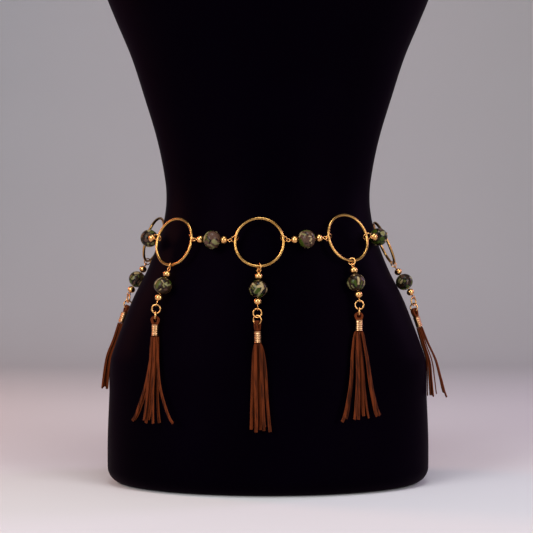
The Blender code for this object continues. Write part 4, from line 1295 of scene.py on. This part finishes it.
class BELT_OT_tassels(bpy.types.Operator):
    """Makes the suede tassels: folded cords over the lowest jump ring, and their hanging ends"""

    bl_idname = "belt.tassels"
    bl_label = "Suede tassels"

    def execute(self, context):
        sizes = context.scene.belt_sizes
        width, thickness = sizes.cord_width, sizes.cord_thickness
        for drop in DROPS:
            layout = HUNG[drop.ring]
            way, head = layout["band_way"], layout["head"]
            turn = math.radians(drop.turn_b)
            flat = layout["tangent"] * math.cos(turn) + layout["outward"] * math.sin(turn)
            across = (flat - way * flat.dot(way)).normalized()
            arch = way.cross(across)
            shape = Shape()
            leg_end = drop.band_top + FOLD_INTO_CLAMP
            for layer, radius in enumerate(FOLD_RADII):
                for side in (-1, 1):
                    line = self.fold(head, way, arch, radius, side * layer * FOLD_EASE, leg_end)
                    line = smooth_through([p + across * side * FOLD_APART / 2 for p in line], FOLD_STEPS)
                    shape.skin(cord_rows(line, [across] * len(line), FOLD_WIDTH, FOLD_THICKNESS))
            upright = on_axis(head, -way)
            top, low = drop.band_top, drop.band_top + BAND_LENGTH
            plug = [(0.0024, top - 0.0024), (0.0025, top - 0.0006), (0.0025, low - 0.0021)]
            plug += [(0.0030, low - 0.0006), (0.0029, low + 0.0007)]
            levels = [(radius, upright @ Matrix.Translation((0, 0, -z))) for radius, z in plug[::-1]]
            shape.skin([circle(level, radius, PLUG_TURN) for radius, level in levels])
            for number in range(STRANDS):
                points, normals = strand_points(drop, layout, number)
                across_at = []
                for k, normal in enumerate(normals):
                    t = k / (len(points) - 1)
                    twist = noise.noise(Vector((number * 1.9, t * 1.4, drop.turn_b))) * TWIST * t
                    across_at.append(layout["tangent"] * math.cos(twist) + normal * math.sin(twist))
                shape.skin(cord_rows(points, across_at, width, thickness))
            obj = joined(f"suede_tassel_{drop.ring}", [(shape.mesh("tassel", sharp=80), suede())])
            fit(obj, f"drop_{drop.ring}", "suede", f"tassel_{drop.ring}")
        return {"FINISHED"}

    def fold(self, head, way, arch, radius, ease, leg_end):
        """The line of one cord over the jump ring's wire and down into the clamp."""
        line = [head - arch * FOLD_LEG + way * leg_end, head - arch * radius * 0.8 + way * leg_end * 0.5]
        line += [
            head - arch * math.cos(a) * (radius + ease) - way * math.sin(a) * radius * 0.82
            for a in (math.pi * k / 6 for k in range(7))
        ]
        line += [head + arch * radius * 0.8 + way * leg_end * 0.5, head + arch * FOLD_LEG + way * leg_end]
        return line


class BELT_OT_clamps(bpy.types.Operator):
    """Makes the folded sheet metal clamps with pressed ridges round the tassels' heads"""

    bl_idname = "belt.clamps"
    bl_label = "Tassel clamps"

    def execute(self, context):
        sizes = context.scene.belt_sizes
        for drop in DROPS:
            layout = HUNG[drop.ring]
            way, head = layout["band_way"], layout["head"]
            matrix = place(head, -way, layout["tangent"])
            rows = self.sheet_rows(matrix, sizes.ridges, sizes.ridge_height, drop.band_top)
            shape = Shape().skin(rows)
            obj = joined(f"clamp_{drop.ring}", [(shape.mesh("clamp", sharp=55), clamp_gold())])
            fit(obj, f"drop_{drop.ring}", "gold", f"tassel_band_{drop.ring}")
        return {"FINISHED"}

    def sheet_rows(self, matrix, ridges, height, top):
        """Sections of the sheet round the bundle. It starts and ends at the front, where it overlaps."""
        rows = []
        for k in range(SHEET_TURN + 1):
            share = k / SHEET_TURN
            angle = SHEET_START + SHEET_SWEEP * share
            lap = max(0.0, (share - LAP_START) / (1 - LAP_START))
            lap = lap * lap * (3 - 2 * lap)
            outside, inside = [], []
            for j in range(SHEET_STEPS + 1):
                down = j / SHEET_STEPS
                flare = TOP_FLARE * (1 - down) ** 6 + LOW_FLARE * down**10
                ridge = height * math.cos(math.tau * ridges * down) * (1 if 0.04 < down < 0.97 else 0.3)
                squarish = 1 + SQUARENESS * math.cos(4 * angle)
                radius = (CORE_RADIUS + GAP + SHEET_EASE) * squarish + lap * (SHEET + SHEET_EASE) + flare
                z = -(top + BAND_LENGTH * down)
                outside.append((radius + SHEET + ridge * 0.5, z))
                inside.append((radius + ridge * 0.2, z))
            outline = outside + inside[::-1]
            spin = Vector((0, math.sin(angle), -math.cos(angle)))
            rows.append([matrix @ (spin * radius + Vector((z, 0, 0))) for radius, z in outline])
        return rows


class BELT_OT_closure(bpy.types.Operator):
    """Makes the clasp and the short chain at the back"""

    bl_idname = "belt.closure"
    bl_label = "Clasp and chain"

    def execute(self, context):
        gold = bright_gold()
        spread = closure_points(*CLOSURE, 60)
        lengths = [(b - a).length for a, b in zip(spread, spread[1:])]

        def at(distance):
            for a, b, length in zip(spread, spread[1:], lengths):
                if distance <= length:
                    break
                distance -= length
            way = (b - a).normalized()
            return a + way * distance, way

        jump_far_wire = SIDE_JUMP_SHIFT + SIDE_JUMP_RADIUS
        clasp_near_wire = jump_far_wire - (SIDE_JUMP_WIRE + CLASP_WIRE) / 2 + SOLDER
        clasp_far_wire = clasp_near_wire + CLASP_LENGTH - CLASP_WIRE
        point, way = at(SIDE_JUMP_SHIFT)
        sizes = {"loop_radius": SIDE_JUMP_RADIUS, "wire_diameter": SIDE_JUMP_WIRE, "cut_at": 1.9}
        jump = loops([place(point, way, UP.cross(way))], gold, **sizes)
        point, way = at((clasp_near_wire + clasp_far_wire) / 2)
        parts = [(self.hook(place(point, way, UP)), gold), (jump, gold)]
        fit(joined("clasp_with_lever", parts), "root", "gold", "clasp")

        first_wire = clasp_far_wire - (CLASP_WIRE + CHAIN_WIRE) / 2 - LOOP_GAP
        last_wire = sum(lengths) + (RING_WIRE + CHAIN_WIRE) / 2 + LOOP_GAP
        lap = CHAIN_WIRE - SOLDER
        steps = 2 * round((last_wire - first_wire) / (CHAIN_LINK - CHAIN_WIRE - lap) / 2)
        radius = (last_wire - first_wire + steps * lap) / (2 * steps + 2)
        places = []
        for k in range(steps + 1):
            point, way = at(first_wire + radius + (2 * radius - lap) * k)
            places.append(place(point, way, UP.cross(way) if k % 2 == 0 else UP))
        links = loops(places, gold, loop_radius=radius, wire_diameter=CHAIN_WIRE, cut_at=1.5)
        fit(joined("chain_links", [(links, gold)]), "root", "gold", "chain")
        return {"FINISHED"}

    def hook(self, matrix):
        """An oblong hook of round wire, thicker on its back, with a small lever on its front side."""
        shape, rows = Shape(), []
        reach = (CLASP_LENGTH - CLASP_WIDTH) / 2
        for k in range(HOOK_TURN):
            a = math.tau * k / HOOK_TURN
            spoke = Vector((math.cos(a), math.sin(a), 0))
            stretch = reach * math.tanh(4 * math.cos(a))
            centre = spoke * (CLASP_WIDTH - CLASP_WIRE) / 2 + Vector((stretch, 0, 0))
            wire = CLASP_WIRE / 2 * (0.82 + 0.18 * math.sin(a))
            around = [math.tau * j / HOOK_AROUND for j in range(HOOK_AROUND)]
            rows.append([matrix @ (centre + (spoke * math.cos(b) + UP * math.sin(b)) * wire) for b in around])
        shape.skin(rows, closed=True)
        line = smooth_through([matrix @ Vector((x, y, 0)) for x, y in LEVER], LEVER_STEPS)
        shape.skin(cord_rows(line, [matrix.to_3x3() @ UP] * len(line), LEVER_WIDTH, LEVER_THICKNESS))
        return shape.mesh("hook")


# The stage


CAMERA_HEIGHT = 0.2227
CAMERA_DISTANCE = 1.40
LENS = 90.8
FRAME_SHIFT = -1.5 / 533
WORLD_COLOUR = (0.80, 0.80, 0.84, 1)
WORLD_STRENGTH = 0.25

# The floor reaches this far to each side and to the front, then curves up behind the form.
FLOOR_REACH = 6.0
CURVE_START = 1.6
CURVE_RADIUS = 1.0
CURVE_STEPS = 16
BACKDROP_TOP = 5.0
FLOOR_DROP = 0.0002

# The soft lights: name, place, the point faced, size, power and colour.
LIGHTS = [
    ("key", (-1.15, -1.45, 0.95), (0, 0, 0.25), (0.9, 1.2), 26, (1, 1, 1)),
    ("fill", (1.25, -1.35, 0.75), (0, 0, 0.25), (0.7, 1.2), 17, (1, 1, 1)),
    ("top", (0.1, -0.5, 1.7), (0, 0, 0.3), (0.8, 0.8), 12, (1, 1, 1)),
    ("left strip", (-1.5, 0.5, 0.9), (0, 0, 0.3), (0.4, 0.9), 10, (1.0, 0.40, 0.24)),
    ("right strip", (1.5, 0.5, 0.9), (0, 0, 0.3), (0.4, 0.9), 7, (0.86, 0.58, 1.0)),
]


def area_light(name, at, to, size, power, colour):
    light = bpy.data.lights.new(name, "AREA")
    light.shape = "RECTANGLE"
    light.size, light.size_y = size
    light.energy = power
    light.color = colour
    obj = bpy.data.objects.new(name, light)
    obj.location = at
    obj.rotation_euler = (Vector(to) - Vector(at)).to_track_quat("-Z", "Y").to_euler()
    bpy.context.scene.collection.objects.link(obj)


class BELT_OT_stage(bpy.types.Operator):
    """Makes the pale floor and backdrop, the soft lights and the camera"""

    bl_idname = "belt.stage"
    bl_label = "Stage"

    def execute(self, context):
        backdrop, tree, shader = new_material("Pale backdrop", Roughness=0.9, Specular_IOR_Level=0.1)
        where = add(tree, "ShaderNodeTexCoord").outputs["Object"]
        pale = tuple(context.scene.belt_colours.backdrop)
        warm = tuple(c * 0.985 for c in pale)
        tone = ramp(tree, grain(tree, where, 3), (0.3, warm), (0.7, pale))
        tree.links.new(tone, shader.inputs["Base Color"])
        profile = [(-FLOOR_REACH, 0.0), (CURVE_START, 0.0)]
        for k in range(1, CURVE_STEPS + 1):
            a = math.pi / 2 * k / CURVE_STEPS
            profile.append((CURVE_START + CURVE_RADIUS * math.sin(a), CURVE_RADIUS * (1 - math.cos(a))))
        profile.append((CURVE_START + CURVE_RADIUS, BACKDROP_TOP))
        sides = (-FLOOR_REACH, FLOOR_REACH)
        points = [Vector((x, y, z - FLOOR_DROP)) for y, z in profile for x in sides]
        faces = [(2 * k, 2 * k + 1, 2 * k + 3, 2 * k + 2) for k in range(len(profile) - 1)]
        mesh = bpy.data.meshes.new("backdrop")
        mesh.from_pydata(points, [], faces)
        mesh.shade_smooth()
        mesh.materials.append(backdrop)
        sweep = bpy.data.objects.new("backdrop", mesh)
        context.scene.collection.objects.link(sweep)

        for light in LIGHTS:
            area_light(*light)
        world = bpy.data.worlds.new("Soft room")
        world.use_nodes = True
        world.node_tree.nodes["Background"].inputs[0].default_value = WORLD_COLOUR
        world.node_tree.nodes["Background"].inputs[1].default_value = WORLD_STRENGTH
        context.scene.world = world
        context.scene.view_settings.view_transform = "Standard"

        camera = bpy.data.cameras.new("camera")
        camera.lens = LENS
        camera.sensor_width = 36
        camera.shift_x = FRAME_SHIFT
        eye = bpy.data.objects.new("camera", camera)
        eye.location = (0, -CAMERA_DISTANCE, CAMERA_HEIGHT)
        eye.rotation_euler = (math.pi / 2, 0, 0)
        context.scene.collection.objects.link(eye)
        context.scene.camera = eye
        return {"FINISHED"}


# The add-on


OPERATORS = (
    BELT_OT_form,
    BELT_OT_rings,
    BELT_OT_links,
    BELT_OT_stones,
    BELT_OT_drop_hardware,
    BELT_OT_tassels,
    BELT_OT_clamps,
    BELT_OT_closure,
    BELT_OT_stage,
)


class BELT_PT_pieces(bpy.types.Panel):
    """Lists the pieces and their settings"""

    bl_idname = "BELT_PT_pieces"
    bl_label = "Beaded belt"
    bl_space_type = "VIEW_3D"
    bl_region_type = "UI"
    bl_category = "Belt"

    def draw(self, context):
        for settings in (context.scene.belt_sizes, context.scene.belt_colours):
            for key in settings.__annotations__:
                self.layout.prop(settings, key)
        for operator in OPERATORS:
            self.layout.operator(operator.bl_idname)


def register():
    for kind in (BeltSizes, BeltColours, *OPERATORS, BELT_PT_pieces):
        bpy.utils.register_class(kind)
    bpy.types.Scene.belt_sizes = bpy.props.PointerProperty(type=BeltSizes)
    bpy.types.Scene.belt_colours = bpy.props.PointerProperty(type=BeltColours)


def unregister():
    del bpy.types.Scene.belt_colours
    del bpy.types.Scene.belt_sizes
    for kind in (BELT_PT_pieces, *reversed(OPERATORS), BeltColours, BeltSizes):
        bpy.utils.unregister_class(kind)


def main():
    register()
    for operator in OPERATORS:
        getattr(bpy.ops.belt, operator.bl_idname.split(".")[1])()


if __name__ == "__main__":
    main()
